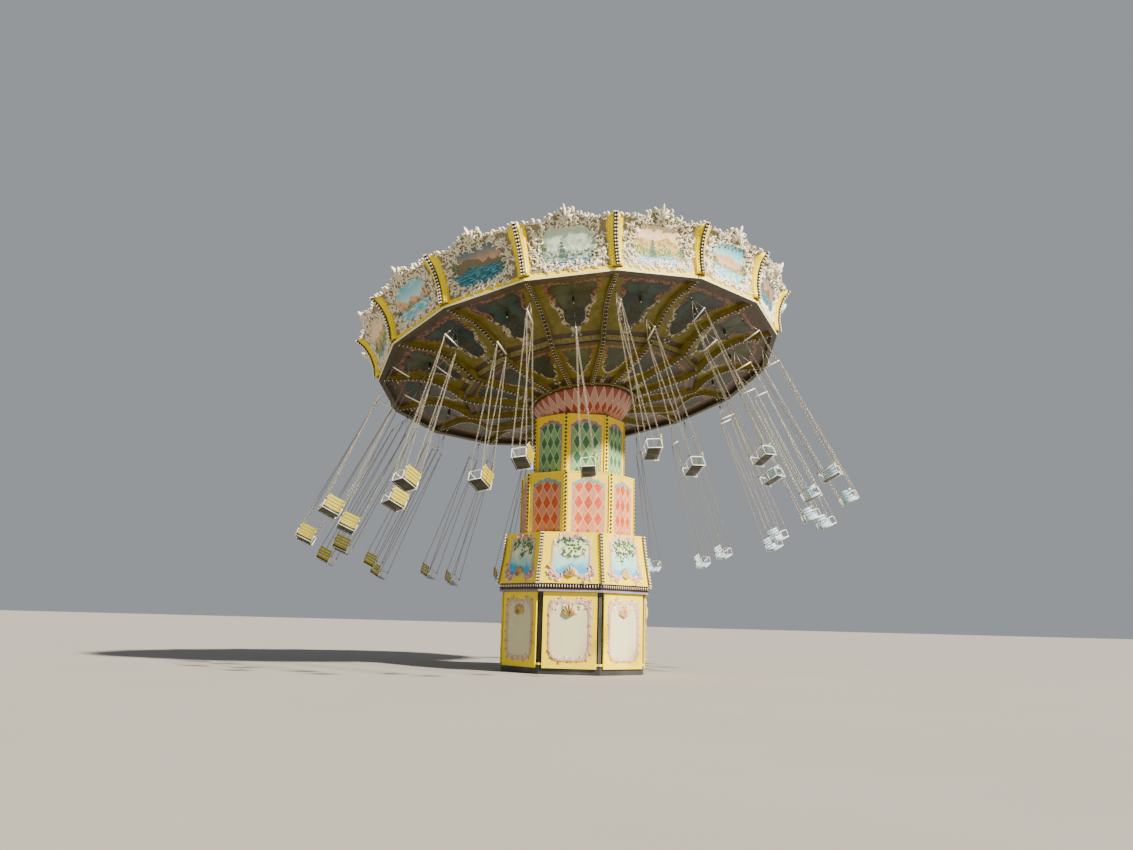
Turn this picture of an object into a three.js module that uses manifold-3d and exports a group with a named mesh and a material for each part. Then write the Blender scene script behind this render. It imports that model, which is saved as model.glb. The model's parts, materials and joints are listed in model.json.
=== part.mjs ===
// Chair swing ride with a telescopic tower, a tilting 16-sided crown and 32 hanging chairs.
// Millimetres, +Z up, origin on the ground under the tower. Azimuths run from -Y towards +X.
import * as THREE from "three";
import { mergeVertices } from "three/addons/utils/BufferGeometryUtils.js";
import Module from "manifold-3d";

const wasm = await Module();
wasm.setup();

const degree = Math.PI / 180;
const seatGap = 0.3; // clearance where one piece rests on another

// Base, an octagon with a face towards -Y
const baseSides = 8;
const basePhase = 22.5;
const soleHeight = 150;
const soleRadius = 2440;
const panelFaceRadius = 2500; // corner radius of the eight panel planes
const panelWidth = 1660;
const panelThickness = 50;
const ledgeBottom = 2482;
const ledgeTop = 2737;
const skirtBottomRadius = 2617;
const skirtTopRadius = 2379;
const skirtTop = 4298;
const sheet = 50;

// Tower
const lowerShaftRadius = 1922;
const lowerShaftBottom = 3900;
const lowerShaftTop = 6270;
const lowerShaftPhase = -7.5;
const upperShaftSides = 7;
const upperShaftRadius = 1552;
const upperShaftBottom = 5850;
const upperShaftTop = 8272;
const upperShaftPhase = -12.1;
const mastFootSize = 800;
const mastWall = 24;
const turntableHeight = 400;

// Crown, drawn in its own frame with the tilt pivot at the origin
const pivotHeight = 9650;
const tiltAngle = 12.9;
const leanAzimuth = 219.4; // the side that the crown dips towards
const rimRise = 320; // from the pivot to the plane of the rim's lower edge
const sectors = 16;
const crownPhase = 13.3;
const bellRadius = 1920;
const bellRimDepth = 1200;
const hubRadius = 1650;
const hubTop = 720;

// Chairs
const outerRing = { radius: 6150, hang: 350, swing: 26.1, offset: 0 };
const innerRing = { radius: 5250, hang: 700, swing: 24.7, offset: 0.5 };
const swingWave = { size: 1.65, peak: 43.5 }; // degrees more on the side where chairs fly widest
const trail = 3.9; // degrees that the air holds a chair back
const trailWave = { size: 5.9, peak: -66.6 };
const pivotDrop = 30; // chair pivots below the rim plane
const chairReach = 6120; // pivot to seat pan
const spreaderDrop = 620;
const spreaderHalf = 280; // half the bar's length, and of the seat's width
const ropeWidth = 18;
const seatDepth = 400;
const armHeight = 240;
const backHeight = 420;

function finish(color, roughness, metalness) {
  return new THREE.MeshStandardMaterial({ color, roughness, metalness });
}

const yellowPaint = finish(0xe9b93a, 0.5, 0);
const creamPaint = finish(0xe8dfc0, 0.55, 0);
const greyPaint = finish(0x6d6570, 0.6, 0.1);
const darkSteel = finish(0x34363a, 0.5, 0.6);
const pinkPaint = finish(0xd98078, 0.5, 0);
const greenPaint = finish(0x6fae7c, 0.5, 0);
const darkGreenPaint = finish(0x2f4a35, 0.5, 0);
const ceilingPaint = finish(0x9a7f55, 0.6, 0);
const roofSheet = finish(0x9aa0a4, 0.5, 0.4);
const chairPaint = finish(0xe6c53c, 0.45, 0.1);

// Flips a closed geometry whose faces point inwards
function facingOut(geometry) {
  const plain = new THREE.BufferGeometry();
  plain.setAttribute("position", geometry.getAttribute("position").clone());
  if (geometry.index) plain.setIndex(geometry.index.clone());
  const merged = mergeVertices(plain, 0.01);
  const position = merged.getAttribute("position");
  const kept = [];
  let volume = 0;
  const tri = [new THREE.Vector3(), new THREE.Vector3(), new THREE.Vector3()];
  for (let i = 0; i < merged.index.count; i += 3) {
    const [a, b, c] = [0, 1, 2].map((j) => merged.index.getX(i + j));
    if (a === b || b === c || c === a) continue;
    [a, b, c].forEach((vertex, j) => tri[j].fromBufferAttribute(position, vertex));
    volume += tri[0].dot(tri[1].clone().cross(tri[2]));
    kept.push(a, b, c);
  }
  if (volume < 0) {
    for (let i = 0; i < kept.length; i += 3) {
      [kept[i], kept[i + 1]] = [kept[i + 1], kept[i]];
    }
  }
  merged.setIndex(kept);
  return merged;
}

function toSolid(geometry) {
  const clean = facingOut(geometry);
  return new wasm.Manifold(
    new wasm.Mesh({
      numProp: 3,
      vertProperties: Float32Array.from(clean.getAttribute("position").array),
      triVerts: Uint32Array.from(clean.index.array),
    }),
  );
}

// The outer skin of a solid, with flat areas in as few triangles as they need
function fromSolid(solid) {
  const mesh = solid.asOriginal().simplify(0.01).getMesh();
  const geometry = new THREE.BufferGeometry();
  geometry.setAttribute("position", new THREE.BufferAttribute(mesh.vertProperties, 3));
  geometry.setIndex(new THREE.BufferAttribute(mesh.triVerts, 1));
  return geometry;
}

// One geometry from several that overlap where they join
function joined(geometries) {
  return fromSolid(geometries.map(toSolid).reduce((whole, piece) => whole.add(piece)));
}

// A many-sided ring or disc: the profile holds [radius, height] and closes on itself
function ring(profile, sides, phase) {
  const points = profile.map(([radius, height]) => new THREE.Vector2(radius, height));
  points.push(points[0].clone());
  const lathe = new THREE.LatheGeometry(points, sides, phase * degree, 2 * Math.PI);
  return facingOut(lathe.rotateX(Math.PI / 2));
}

function box(size, centre) {
  return new THREE.BoxGeometry(...size).translate(...centre);
}

function squareTube(outer, wall, bottom, top) {
  const half = outer / 2;
  const inner = half - wall;
  const shape = new THREE.Shape(corners(half));
  shape.holes.push(new THREE.Path(corners(inner).reverse()));
  const tube = new THREE.ExtrudeGeometry(shape, { depth: top - bottom, bevelEnabled: false });
  return tube.translate(0, 0, bottom);
}

function corners(half) {
  return [
    [-half, -half],
    [half, -half],
    [half, half],
    [-half, half],
  ].map(([x, y]) => new THREE.Vector2(x, y));
}

// A flat plate whose outline holds [radius, height], standing on a radial line
function radialPlate(outline, thickness, azimuth) {
  const shape = new THREE.Shape(outline.map(([radius, height]) => new THREE.Vector2(radius, height)));
  const plate = new THREE.ExtrudeGeometry(shape, { depth: thickness, bevelEnabled: false });
  plate.translate(0, 0, -thickness / 2);
  plate.rotateX(Math.PI / 2);
  return plate.rotateZ((azimuth - 90) * degree);
}

function outward(azimuth) {
  return new THREE.Vector3(Math.sin(azimuth * degree), -Math.cos(azimuth * degree), 0);
}

function addMesh(parent, name, geometry, material) {
  const mesh = new THREE.Mesh(geometry, material);
  mesh.name = name;
  parent.add(mesh);
  return mesh;
}

function eachSide(count, phase, make) {
  return Array.from({ length: count }, (_, i) => make(phase + (360 / count) * i));
}

// Fixed base

const faceReach = panelFaceRadius * Math.cos(Math.PI / baseSides); // centre to a panel's face
const railRadius = (faceReach - panelThickness) / Math.cos(Math.PI / baseSides);
const pedestalRadius = 700;

function groundFrame() {
  const ringWidth = 300;
  const sole = ring(
    [
      [soleRadius - ringWidth, 0],
      [soleRadius, 0],
      [soleRadius, soleHeight],
      [soleRadius - ringWidth, soleHeight],
    ],
    baseSides,
    basePhase,
  );
  const span = 2 * (soleRadius - ringWidth);
  const beams = [
    box([span, 240, soleHeight], [0, 0, soleHeight / 2]),
    box([240, span, soleHeight], [0, 0, soleHeight / 2]),
  ];
  const centre = ring(
    [
      [0, 0],
      [pedestalRadius + 100, 0],
      [pedestalRadius + 100, soleHeight],
      [0, soleHeight],
    ],
    16,
    0,
  );
  return joined([sole, ...beams, centre]);
}

// Corner posts between two rails
function baseFrame() {
  const railDepth = 90;
  const railHeight = 100;
  const bottom = soleHeight + seatGap;
  const top = ledgeBottom - seatGap;
  const rail = (low) =>
    ring(
      [
        [railRadius - railDepth, low],
        [railRadius - seatGap, low],
        [railRadius - seatGap, low + railHeight],
        [railRadius - railDepth, low + railHeight],
      ],
      baseSides,
      basePhase,
    );
  const posts = eachSide(baseSides, basePhase, (azimuth) =>
    radialPlate(
      [
        [railRadius - 150, bottom],
        [railRadius - 40, bottom],
        [railRadius - 40, top],
        [railRadius - 150, top],
      ],
      110,
      azimuth,
    ),
  );
  return joined([rail(bottom), rail(top - railHeight), ...posts]);
}

// Eight panels on a rail that runs behind their feet
function basePanels() {
  const bottom = soleHeight + 40;
  const top = ledgeBottom - 12;
  const panels = eachSide(baseSides, 0, (azimuth) =>
    box(
      [panelWidth, panelThickness, top - bottom],
      [0, -(faceReach - panelThickness / 2), (top + bottom) / 2],
    ).rotateZ(azimuth * degree),
  );
  const low = soleHeight + 130;
  const rail = ring(
    [
      [railRadius - 9, low],
      [railRadius + 20, low],
      [railRadius + 20, low + 60],
      [railRadius - 9, low + 60],
    ],
    baseSides,
    basePhase,
  );
  return joined([...panels, rail]);
}

function baseLedge() {
  return ring(
    [
      [railRadius - 90, ledgeBottom],
      [2590, ledgeBottom],
      [2590, ledgeBottom + 50],
      [2556, ledgeBottom + 62],
      [2556, ledgeTop - seatGap],
      [2420, ledgeTop - seatGap],
      [2420, ledgeBottom + 60],
      [railRadius - 90, ledgeBottom + 60],
    ],
    baseSides,
    basePhase,
  );
}

function skirt() {
  return ring(
    [
      [skirtBottomRadius - 160, ledgeTop],
      [skirtBottomRadius, ledgeTop],
      [skirtBottomRadius - 150, ledgeTop + 870],
      [skirtTopRadius, skirtTop],
      [skirtTopRadius - 1.1 * sheet, skirtTop],
      [skirtBottomRadius - 150 - sheet, ledgeTop + 870],
      [skirtBottomRadius - 60, ledgeTop + 60],
      [skirtBottomRadius - 160, ledgeTop + 60],
    ],
    baseSides,
    basePhase,
  );
}

function skirtTopRing() {
  const hole = (lowerShaftRadius + 12) / Math.cos(Math.PI / baseSides);
  return ring(
    [
      [hole, skirtTop + seatGap],
      [skirtTopRadius, skirtTop + seatGap],
      [skirtTopRadius, skirtTop + 30],
      [hole, skirtTop + 30],
    ],
    baseSides,
    basePhase,
  );
}

function pedestal() {
  const top = turntableHeight - seatGap;
  return ring(
    [
      [pedestalRadius - 60, soleHeight + seatGap],
      [pedestalRadius, soleHeight + seatGap],
      [pedestalRadius, top],
      [pedestalRadius - 200, top],
      [pedestalRadius - 200, top - 60],
      [pedestalRadius - 60, top - 60],
    ],
    16,
    0,
  );
}

// Telescopic tower

function mastFoot() {
  const table = ring(
    [
      [0, turntableHeight],
      [pedestalRadius + 40, turntableHeight],
      [pedestalRadius + 40, turntableHeight + 60],
      [0, turntableHeight + 60],
    ],
    16,
    0,
  );
  return joined([table, squareTube(mastFootSize, mastWall, turntableHeight + 40, 2340)]);
}

const mastMiddleSize = mastFootSize - 2 * mastWall - 1;
const mastHeadSize = mastMiddleSize - 2 * mastWall - 1;
const flangeThickness = 30;
const diaphragm = 60;

// A square plate with a square hole, lying level
function flange(size, holeSize, bottom) {
  return squareTube(size, (size - holeSize) / 2, bottom, bottom + flangeThickness);
}

function mastMiddle() {
  const tube = squareTube(mastMiddleSize, mastWall, 2000, 4180);
  const seat = flange(1250, mastMiddleSize - mastWall, lowerShaftBottom + diaphragm + seatGap);
  return joined([tube, seat]);
}

function lowerShaft() {
  const inside = lowerShaftRadius - sheet;
  return ring(
    [
      [600, lowerShaftBottom],
      [lowerShaftRadius, lowerShaftBottom],
      [lowerShaftRadius, lowerShaftTop],
      [inside, lowerShaftTop],
      [inside, lowerShaftBottom + diaphragm],
      [600, lowerShaftBottom + diaphragm],
    ],
    baseSides,
    lowerShaftPhase,
  );
}

function lowerShaftTopRing() {
  const hole = (upperShaftRadius + 12) / Math.cos(Math.PI / baseSides);
  return ring(
    [
      [hole, lowerShaftTop + seatGap],
      [lowerShaftRadius + 15, lowerShaftTop + seatGap],
      [lowerShaftRadius + 15, lowerShaftTop + 35],
      [hole, lowerShaftTop + 35],
    ],
    baseSides,
    lowerShaftPhase,
  );
}

const upperDiaphragm = 7300;
const pinRadius = 90;
const cheekThickness = 50;
const cheekSpacing = 420;

function mastHead() {
  const tube = squareTube(mastHeadSize, mastWall, 3560, 8120);
  const seat = flange(1250, mastHeadSize - mastWall, upperDiaphragm + diaphragm + seatGap);
  const cap = box([mastHeadSize, mastHeadSize, 40], [0, 0, 8100]);
  const cheekSide = cheekSpacing / 2 + cheekThickness / 2;
  const cheeks = [-cheekSide, cheekSide].map((x) =>
    box([cheekThickness, 380, 1700], [x, 0, 8100 + 850]),
  );
  const fork = joined([tube, seat, cap, ...cheeks]);
  const holeRadius = (pinRadius + seatGap) / Math.cos(Math.PI / 16);
  const hole = new THREE.CylinderGeometry(holeRadius, holeRadius, 800, 16, 1);
  hole.rotateZ(Math.PI / 2).translate(0, 0, pivotHeight);
  return fromSolid(toSolid(fork).subtract(toSolid(hole)));
}

function upperShaft() {
  const inside = upperShaftRadius - sheet;
  return ring(
    [
      [560, upperDiaphragm],
      [inside, upperDiaphragm],
      [inside, upperShaftBottom],
      [upperShaftRadius, upperShaftBottom],
      [upperShaftRadius, upperShaftTop],
      [inside, upperShaftTop],
      [inside, upperDiaphragm + diaphragm],
      [560, upperDiaphragm + diaphragm],
    ],
    upperShaftSides,
    upperShaftPhase,
  );
}

const thrustHeight = 460; // top of the tilt head over the pivot

function tiltHead() {
  const pinLength = cheekSpacing + 2 * cheekThickness + 60;
  const pin = new THREE.CylinderGeometry(pinRadius, pinRadius, pinLength, 16, 1);
  pin.rotateZ(Math.PI / 2);
  const block = box([cheekSpacing - 12, 300, 520], [0, 0, 160]);
  const thrust = ring(
    [
      [0, thrustHeight - 60],
      [620, thrustHeight - 60],
      [620, thrustHeight],
      [0, thrustHeight],
    ],
    16,
    0,
  );
  return joined([pin, block, thrust]);
}

// Crown. Heights here are over the rim plane.

const ceilingSheet = 40;
const outerCeiling = [
  [6640, 130],
  [5500, 130],
  [4950, -30],
  [4010, -520],
  [3930, -520],
];
const innerCeiling = [
  [3960, -740],
  [3860, -740],
  [1830, -1080],
  [1790, -1139.7],
  [1660, -1139.7],
];
const beamLowerEdge = [
  [1840, -1195],
  [3600, -930],
  [4050, -800],
  [4460, -450],
  [4950, -150],
  [5500, 20],
  [6620, 30],
];
const boardProfile = [
  [6800, 130.3],
  [6825, 520],
  [6930, 920],
  [7110, 1250],
  [7350, 1500],
];

function raised(profile, rise) {
  return profile.map(([radius, height]) => [radius, height + rise]);
}

function ceilingRing(profile) {
  return ring([...profile, ...raised(profile, ceilingSheet).reverse()], sectors, crownPhase);
}

function ceilingRiser() {
  const top = outerCeiling.at(-1)[1] - seatGap;
  const bottom = innerCeiling[0][1] + ceilingSheet + seatGap;
  return ring(
    [
      [3890, bottom],
      [3925, bottom],
      [3975, top],
      [3940, top],
    ],
    sectors,
    crownPhase,
  );
}

// The bracket that a chair swings in: two cheeks under a block, in the frame of its hinge
function hangerBracket(rise) {
  const inner = 10.3;
  const outer = 23;
  const depth = 80;
  const outline = [
    [-outer, -50],
    [-inner, -50],
    [-inner, 36],
    [inner, 36],
    [inner, -50],
    [outer, -50],
    [outer, rise],
    [-outer, rise],
  ].map(([x, z]) => new THREE.Vector2(x, z));
  const fold = new THREE.ExtrudeGeometry(new THREE.Shape(outline), { depth, bevelEnabled: false });
  return fold.translate(0, 0, -depth / 2).rotateX(Math.PI / 2);
}

// A value that rises and falls once round the tower
function wave(shape, azimuth) {
  return shape.size * Math.cos((azimuth - shape.peak) * degree);
}

// Where a chair hangs in the crown's frame, and how its hinge lies
function chairPlace(order, hangRing) {
  const azimuth = crownPhase + (360 / sectors) * (order + hangRing.offset);
  const reach = outward(azimuth);
  const pivot = reach.clone().multiplyScalar(hangRing.radius);
  pivot.z = rimRise - pivotDrop;
  const ground = pivot.clone().applyQuaternion(tilt);
  const worldAzimuth = Math.atan2(ground.x, -ground.y) / degree;
  const swing = (hangRing.swing + wave(swingWave, worldAzimuth)) * degree;
  const lag = (trail + wave(trailWave, worldAzimuth)) * degree;
  const away = outward(worldAzimuth);
  const behind = outward(worldAzimuth + 90);
  const fall = away.multiplyScalar(Math.sin(swing)).setZ(-Math.cos(swing));
  fall.multiplyScalar(Math.cos(lag)).addScaledVector(behind, Math.sin(lag));
  fall.applyQuaternion(tilt.clone().invert());
  const up = new THREE.Vector3(0, 0, 1);
  const axis = new THREE.Vector3().crossVectors(fall, up).normalize();
  const side = new THREE.Vector3().crossVectors(up, axis);
  const inward = reach.clone().negate();
  return {
    pivot,
    frame: new THREE.Quaternion().setFromRotationMatrix(
      new THREE.Matrix4().makeBasis(axis, side, up),
    ),
    angle: Math.acos(-fall.z),
    yaw: Math.atan2(inward.dot(side), inward.dot(axis)),
  };
}

function placedBracket(place, rise) {
  const bracket = hangerBracket(rise).applyQuaternion(place.frame);
  return bracket.translate(place.pivot.x, place.pivot.y, place.pivot.z - rimRise);
}

function ceilingBeams(places) {
  const top = [
    [6620, 130 - seatGap],
    [5500, 130 - seatGap],
    [4950, -30 - 2 * seatGap],
    [4014, -520 - 2 * seatGap],
    [4014, -740 - 2 * seatGap],
    [3860, -740 - 2 * seatGap],
    [1845, -1078 - 2 * seatGap],
  ];
  const beams = eachSide(sectors, crownPhase, (azimuth) =>
    radialPlate([...beamLowerEdge, ...top], 150, azimuth),
  );
  const innerTie = ring(
    [
      [1808, -1195],
      [1860, -1195],
      [1860, -1150],
      [1808, -1150],
    ],
    sectors,
    crownPhase,
  );
  const brackets = places.map((place) => placedBracket(place, pivotDrop + 60));
  return joined([innerTie, ...beams, ...brackets]);
}

function crownRim() {
  return ring(
    [
      [6640.6, 0],
      [6815, 0],
      [6830, 60],
      [6800, 130],
      [6640.6, 130],
    ],
    sectors,
    crownPhase,
  );
}

function crownHub() {
  const inner = hubRadius - 40;
  return ring(
    [
      [0, thrustHeight - rimRise + seatGap],
      [inner, thrustHeight - rimRise + seatGap],
      [inner, -bellRimDepth + 60 + seatGap],
      [hubRadius, -bellRimDepth + 60 + seatGap],
      [hubRadius, hubTop - seatGap],
      [inner, hubTop - seatGap],
      [inner, thrustHeight - rimRise + 60],
      [0, thrustHeight - rimRise + 60],
    ],
    sectors,
    crownPhase,
  );
}

const roofEdge = [6640, 450];

function crownSpokes() {
  const under = ceilingSheet + seatGap;
  const outline = [
    [hubRadius + 5, -700],
    [4460, -100],
    [5300, 130 + under],
    [6640, 130 + under],
    [roofEdge[0], roofEdge[1] - 2 * seatGap],
    [hubRadius + 5, hubTop - 2 * seatGap],
  ];
  const spokes = eachSide(sectors, crownPhase, (azimuth) => radialPlate(outline, 60, azimuth));
  const collar = ring(
    [
      [hubRadius + seatGap, -650],
      [hubRadius + 40, -650],
      [hubRadius + 40, hubTop - 10],
      [hubRadius + seatGap, hubTop - 10],
    ],
    sectors,
    crownPhase,
  );
  return joined([...spokes, collar]);
}

function crownRoof() {
  return ring(
    [
      [0, hubTop],
      [hubRadius, hubTop],
      roofEdge,
      [roofEdge[0], roofEdge[1] + 40],
      [hubRadius, hubTop + 40],
      [0, hubTop + 40],
    ],
    sectors,
    crownPhase,
  );
}

// A round bowl about the pivot, open below where the mast comes up
function bell() {
  const rimAngle = Math.acos((bellRimDepth - rimRise) / bellRadius);
  const openAngle = 30 * degree;
  const steps = 3;
  const thickness = 40;
  const arc = (radius) =>
    Array.from({ length: steps + 1 }, (_, i) => {
      const angle = rimAngle + ((openAngle - rimAngle) * i) / steps;
      return [radius * Math.sin(angle), -radius * Math.cos(angle) - rimRise];
    });
  const top = -bellRimDepth + 30 - seatGap;
  const outside = [[1712, top], ...arc(bellRadius)];
  const inside = [...arc(bellRadius - thickness).reverse(), [1668, top]];
  return ring([...outside, ...inside], 24, crownPhase);
}

function bellRim() {
  const top = -bellRimDepth + 60;
  const bottom = -bellRimDepth + 30;
  return ring(
    [
      [1600, bottom],
      [1780, bottom],
      [1800, bottom + 12],
      [1780, top],
      [1600, top],
    ],
    sectors,
    crownPhase,
  );
}

// Board crest: share of the board's length and the height its top reaches
const crest = [
  [0, 1.0],
  [0.3, 1.0],
  [0.42, 1.14],
  [0.58, 1.14],
  [0.7, 1.0],
];
const boardThickness = 40;

// Four boards and their corner ribs as one loft along the rim
function boardRun(first, count) {
  const sections = [];
  for (let i = 0; i <= count; i += 1) {
    const shares = i < count ? crest : [crest[0]];
    for (const [share, stretch] of shares) sections.push([first + i, share, stretch]);
  }
  const loops = sections.map(([sector, share, stretch]) => boardSection(sector, share, stretch));
  return loft(loops);
}

function boardSection(sector, share, stretch) {
  const from = outward(crownPhase + (360 / sectors) * sector);
  const to = outward(crownPhase + (360 / sectors) * (sector + 1));
  const along = from.clone().lerp(to, share);
  const place = ([radius, height]) =>
    along.clone().multiplyScalar(radius).setZ(height);
  const face = boardProfile.map(([radius, height], i) =>
    i === boardProfile.length - 1
      ? [radius + (stretch - 1) * 750, height * stretch]
      : [radius, height],
  );
  const back = face.map(([radius, height]) => [radius - boardThickness, height]).reverse();
  return [...face, ...back].map(place);
}

// Joins like loops of points into a closed skin with flat ends
function loft(loops) {
  const size = loops[0].length;
  const positions = loops.flatMap((loop) => loop.flatMap((point) => point.toArray()));
  const index = [];
  for (let i = 0; i + 1 < loops.length; i += 1) {
    for (let j = 0; j < size; j += 1) {
      const a = i * size + j;
      const b = i * size + ((j + 1) % size);
      index.push(a, b, b + size, a, b + size, a + size);
    }
  }
  const flat = loops[0].map((corner) => new THREE.Vector2(Math.hypot(corner.x, corner.y), corner.z));
  const last = (loops.length - 1) * size;
  for (const [a, b, c] of THREE.ShapeUtils.triangulateShape(flat, [])) {
    index.push(a, c, b, last + a, last + b, last + c);
  }
  const geometry = new THREE.BufferGeometry();
  geometry.setAttribute("position", new THREE.Float32BufferAttribute(positions, 3));
  geometry.setIndex(index);
  return facingOut(geometry);
}

function cornerRib(azimuth) {
  const proud = 60;
  const face = boardProfile.map(([radius, height]) => [radius + proud, height]);
  const back = boardProfile.map(([radius, height]) => [radius - 36, height]).reverse();
  return radialPlate([...face, ...back], 300, azimuth);
}

function boards(first, count) {
  const ribs = Array.from({ length: count }, (_, i) =>
    cornerRib(crownPhase + (360 / sectors) * (first + i)),
  );
  const run = toSolid(boardRun(first, count));
  const endCut = radialPlate(
    [
      [6500, -100],
      [7700, -100],
      [7700, 2100],
      [6500, 2100],
    ],
    302,
    crownPhase + (360 / sectors) * (first + count),
  );
  const whole = ribs.map(toSolid).reduce((sum, rib) => sum.add(rib), run);
  return fromSolid(whole.subtract(toSolid(endCut)));
}

// Chair, hanging straight down from its pivot: X towards the crown's centre, Y forward

function point(x, y, z) {
  return new THREE.Vector3(x, y, z);
}

function chair(hang, yaw) {
  const armLevel = -chairReach + armHeight;
  const halfDepth = seatDepth / 2;
  const tongue = box([20, 50, 112], [0, 0, -34]).rotateZ(-yaw);
  const sides = [-1, 1].map((side) => chainsAndArm(side, -hang - spreaderDrop, armLevel));
  const safetyBar = box([2 * spreaderHalf, 26, 26], [0, halfDepth - 13, armLevel]);
  return joined([tongue, spreader(hang), ...sides, seatShell(), safetyBar]);
}

function extruded(outline, holes, thickness) {
  const loop = (points) => points.map(([x, y]) => new THREE.Vector2(x, y));
  const shape = new THREE.Shape(loop(outline));
  shape.holes.push(...holes.map((hole) => new THREE.Path(loop(hole))));
  const flat = new THREE.ExtrudeGeometry(shape, { depth: thickness, bevelEnabled: false });
  return flat.translate(0, 0, -thickness / 2);
}

// Stem, two stays and the bar that holds the chains apart
function spreader(hang) {
  const half = ropeWidth / 2;
  const low = -hang - spreaderDrop - 18;
  const high = low + 36;
  const end = spreaderHalf + 12;
  const stay = end - 26;
  const outline = [
    [-half, -75],
    [-half, -hang + 10],
    [-end, high],
    [-end, low],
    [end, low],
    [end, high],
    [half, -hang + 10],
    [half, -75],
  ];
  const window = [
    [0, -hang - 14],
    [-stay, high + 6],
    [stay, high + 6],
  ];
  return extruded(outline, [window], 30).rotateX(Math.PI / 2);
}

// At one side: the two chains, and a loop of arm rail, posts and lower rail
function chainsAndArm(side, barHeight, armLevel) {
  const tube = 26;
  const reach = seatDepth / 2;
  const low = -chairReach - 30;
  const high = armLevel + tube / 2;
  const tip = ropeWidth / 2 + 2;
  const outline = [
    [-reach, low],
    [reach, low],
    [reach, high],
    [tip, barHeight],
    [-tip, barHeight],
    [-reach, high],
  ];
  const between = [
    [-reach + ropeWidth, high + 6],
    [reach - ropeWidth, high + 6],
    [0, barHeight - 260],
  ];
  const loop = [
    [-reach + tube, low + tube],
    [reach - tube, low + tube],
    [reach - tube, high - tube],
    [-reach + tube, high - tube],
  ];
  return sideways(extruded(outline, [between, loop], 22), side * (spreaderHalf - 10));
}

// Turns an outline drawn in Y and Z so that its thickness lies along X
function sideways(geometry, place) {
  geometry.applyMatrix4(
    new THREE.Matrix4().makeBasis(point(0, 1, 0), point(0, 0, 1), point(1, 0, 0)),
  );
  return geometry.translate(place, 0, 0);
}

// Seat pan and backrest in one folded sheet
function seatShell() {
  const halfDepth = seatDepth / 2;
  const thick = 24;
  const outline = [
    [halfDepth, 0],
    [halfDepth, thick],
    [-halfDepth + 40, thick],
    [-halfDepth - 30, backHeight],
    [-halfDepth - 30 - thick, backHeight],
    [-halfDepth + 10, 0],
  ].map(([y, z]) => [y, z - chairReach - thick]);
  return sideways(extruded(outline, [], 2 * spreaderHalf - 22), 0);
}

// Assembly

const ride = new THREE.Group();

addMesh(ride, "ground_frame", groundFrame(), darkSteel);
addMesh(ride, "base_frame", baseFrame(), darkSteel);
addMesh(ride, "base_panels", basePanels(), yellowPaint);
addMesh(ride, "base_ledge", baseLedge(), greyPaint);
addMesh(ride, "skirt", skirt(), yellowPaint);
addMesh(ride, "skirt_top", skirtTopRing(), yellowPaint);
addMesh(ride, "pedestal", pedestal(), darkSteel);
addMesh(ride, "mast_foot", mastFoot(), darkSteel).rotation.z = leanAzimuth * degree;
addMesh(ride, "mast_middle", mastMiddle(), darkSteel).rotation.z = leanAzimuth * degree;
addMesh(ride, "lower_shaft", lowerShaft(), yellowPaint);
addMesh(ride, "lower_shaft_top", lowerShaftTopRing(), yellowPaint);
addMesh(ride, "mast_head", mastHead(), darkSteel).rotation.z = leanAzimuth * degree;
addMesh(ride, "upper_shaft", upperShaft(), greenPaint);

const leanAxis = outward(leanAzimuth + 90);
const tilt = new THREE.Quaternion().setFromAxisAngle(leanAxis, tiltAngle * degree);
const tiltFrame = new THREE.Group();
tiltFrame.position.z = pivotHeight;
tiltFrame.quaternion.copy(tilt);
ride.add(tiltFrame);
addMesh(tiltFrame, "tilt_head", tiltHead(), darkSteel).rotation.z = leanAzimuth * degree;

const crown = new THREE.Group();
crown.position.z = rimRise;
tiltFrame.add(crown);

const outerPlaces = Array.from({ length: sectors }, (_, i) => chairPlace(i, outerRing));
const innerPlaces = Array.from({ length: sectors }, (_, i) => chairPlace(i, innerRing));

addMesh(crown, "crown_hub", crownHub(), darkSteel);
addMesh(crown, "crown_spokes", crownSpokes(), darkSteel);
addMesh(crown, "crown_roof", crownRoof(), roofSheet);
addMesh(crown, "bell", bell(), pinkPaint);
addMesh(crown, "bell_rim", bellRim(), darkGreenPaint);
addMesh(crown, "ceiling_beams", ceilingBeams(outerPlaces), yellowPaint);
const innerBrackets = innerPlaces.map((place) => placedBracket(place, pivotDrop + 110));
addMesh(
  crown,
  "ceiling_outer",
  joined([ceilingRing(outerCeiling), ...innerBrackets]),
  ceilingPaint,
);
addMesh(crown, "ceiling_riser", ceilingRiser(), creamPaint);
addMesh(crown, "ceiling_inner", ceilingRing(innerCeiling), ceilingPaint);
addMesh(crown, "crown_rim", crownRim(), creamPaint);
const boardsPerNode = 4;
for (let i = 0; i < sectors / boardsPerNode; i += 1) {
  addMesh(crown, `boards_${i + 1}`, boards(i * boardsPerNode, boardsPerNode), yellowPaint);
}

function hangChair(number, place, hangRing) {
  const hinge = new THREE.Group();
  hinge.position.copy(place.pivot);
  hinge.quaternion.copy(place.frame);
  const swung = new THREE.Group();
  swung.rotation.x = place.angle;
  hinge.add(swung);
  tiltFrame.add(hinge);
  const name = `chair_${String(number).padStart(2, "0")}`;
  addMesh(swung, name, chair(hangRing.hang, place.yaw), chairPaint).rotation.z = place.yaw;
}

for (let i = 0; i < sectors; i += 1) {
  hangChair(2 * i + 1, outerPlaces[i], outerRing);
  hangChair(2 * i + 2, innerPlaces[i], innerRing);
}

export default ride;
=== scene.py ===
import json
import math

import bmesh
import bpy
import numpy as np
from mathutils import Matrix, Vector


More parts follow.
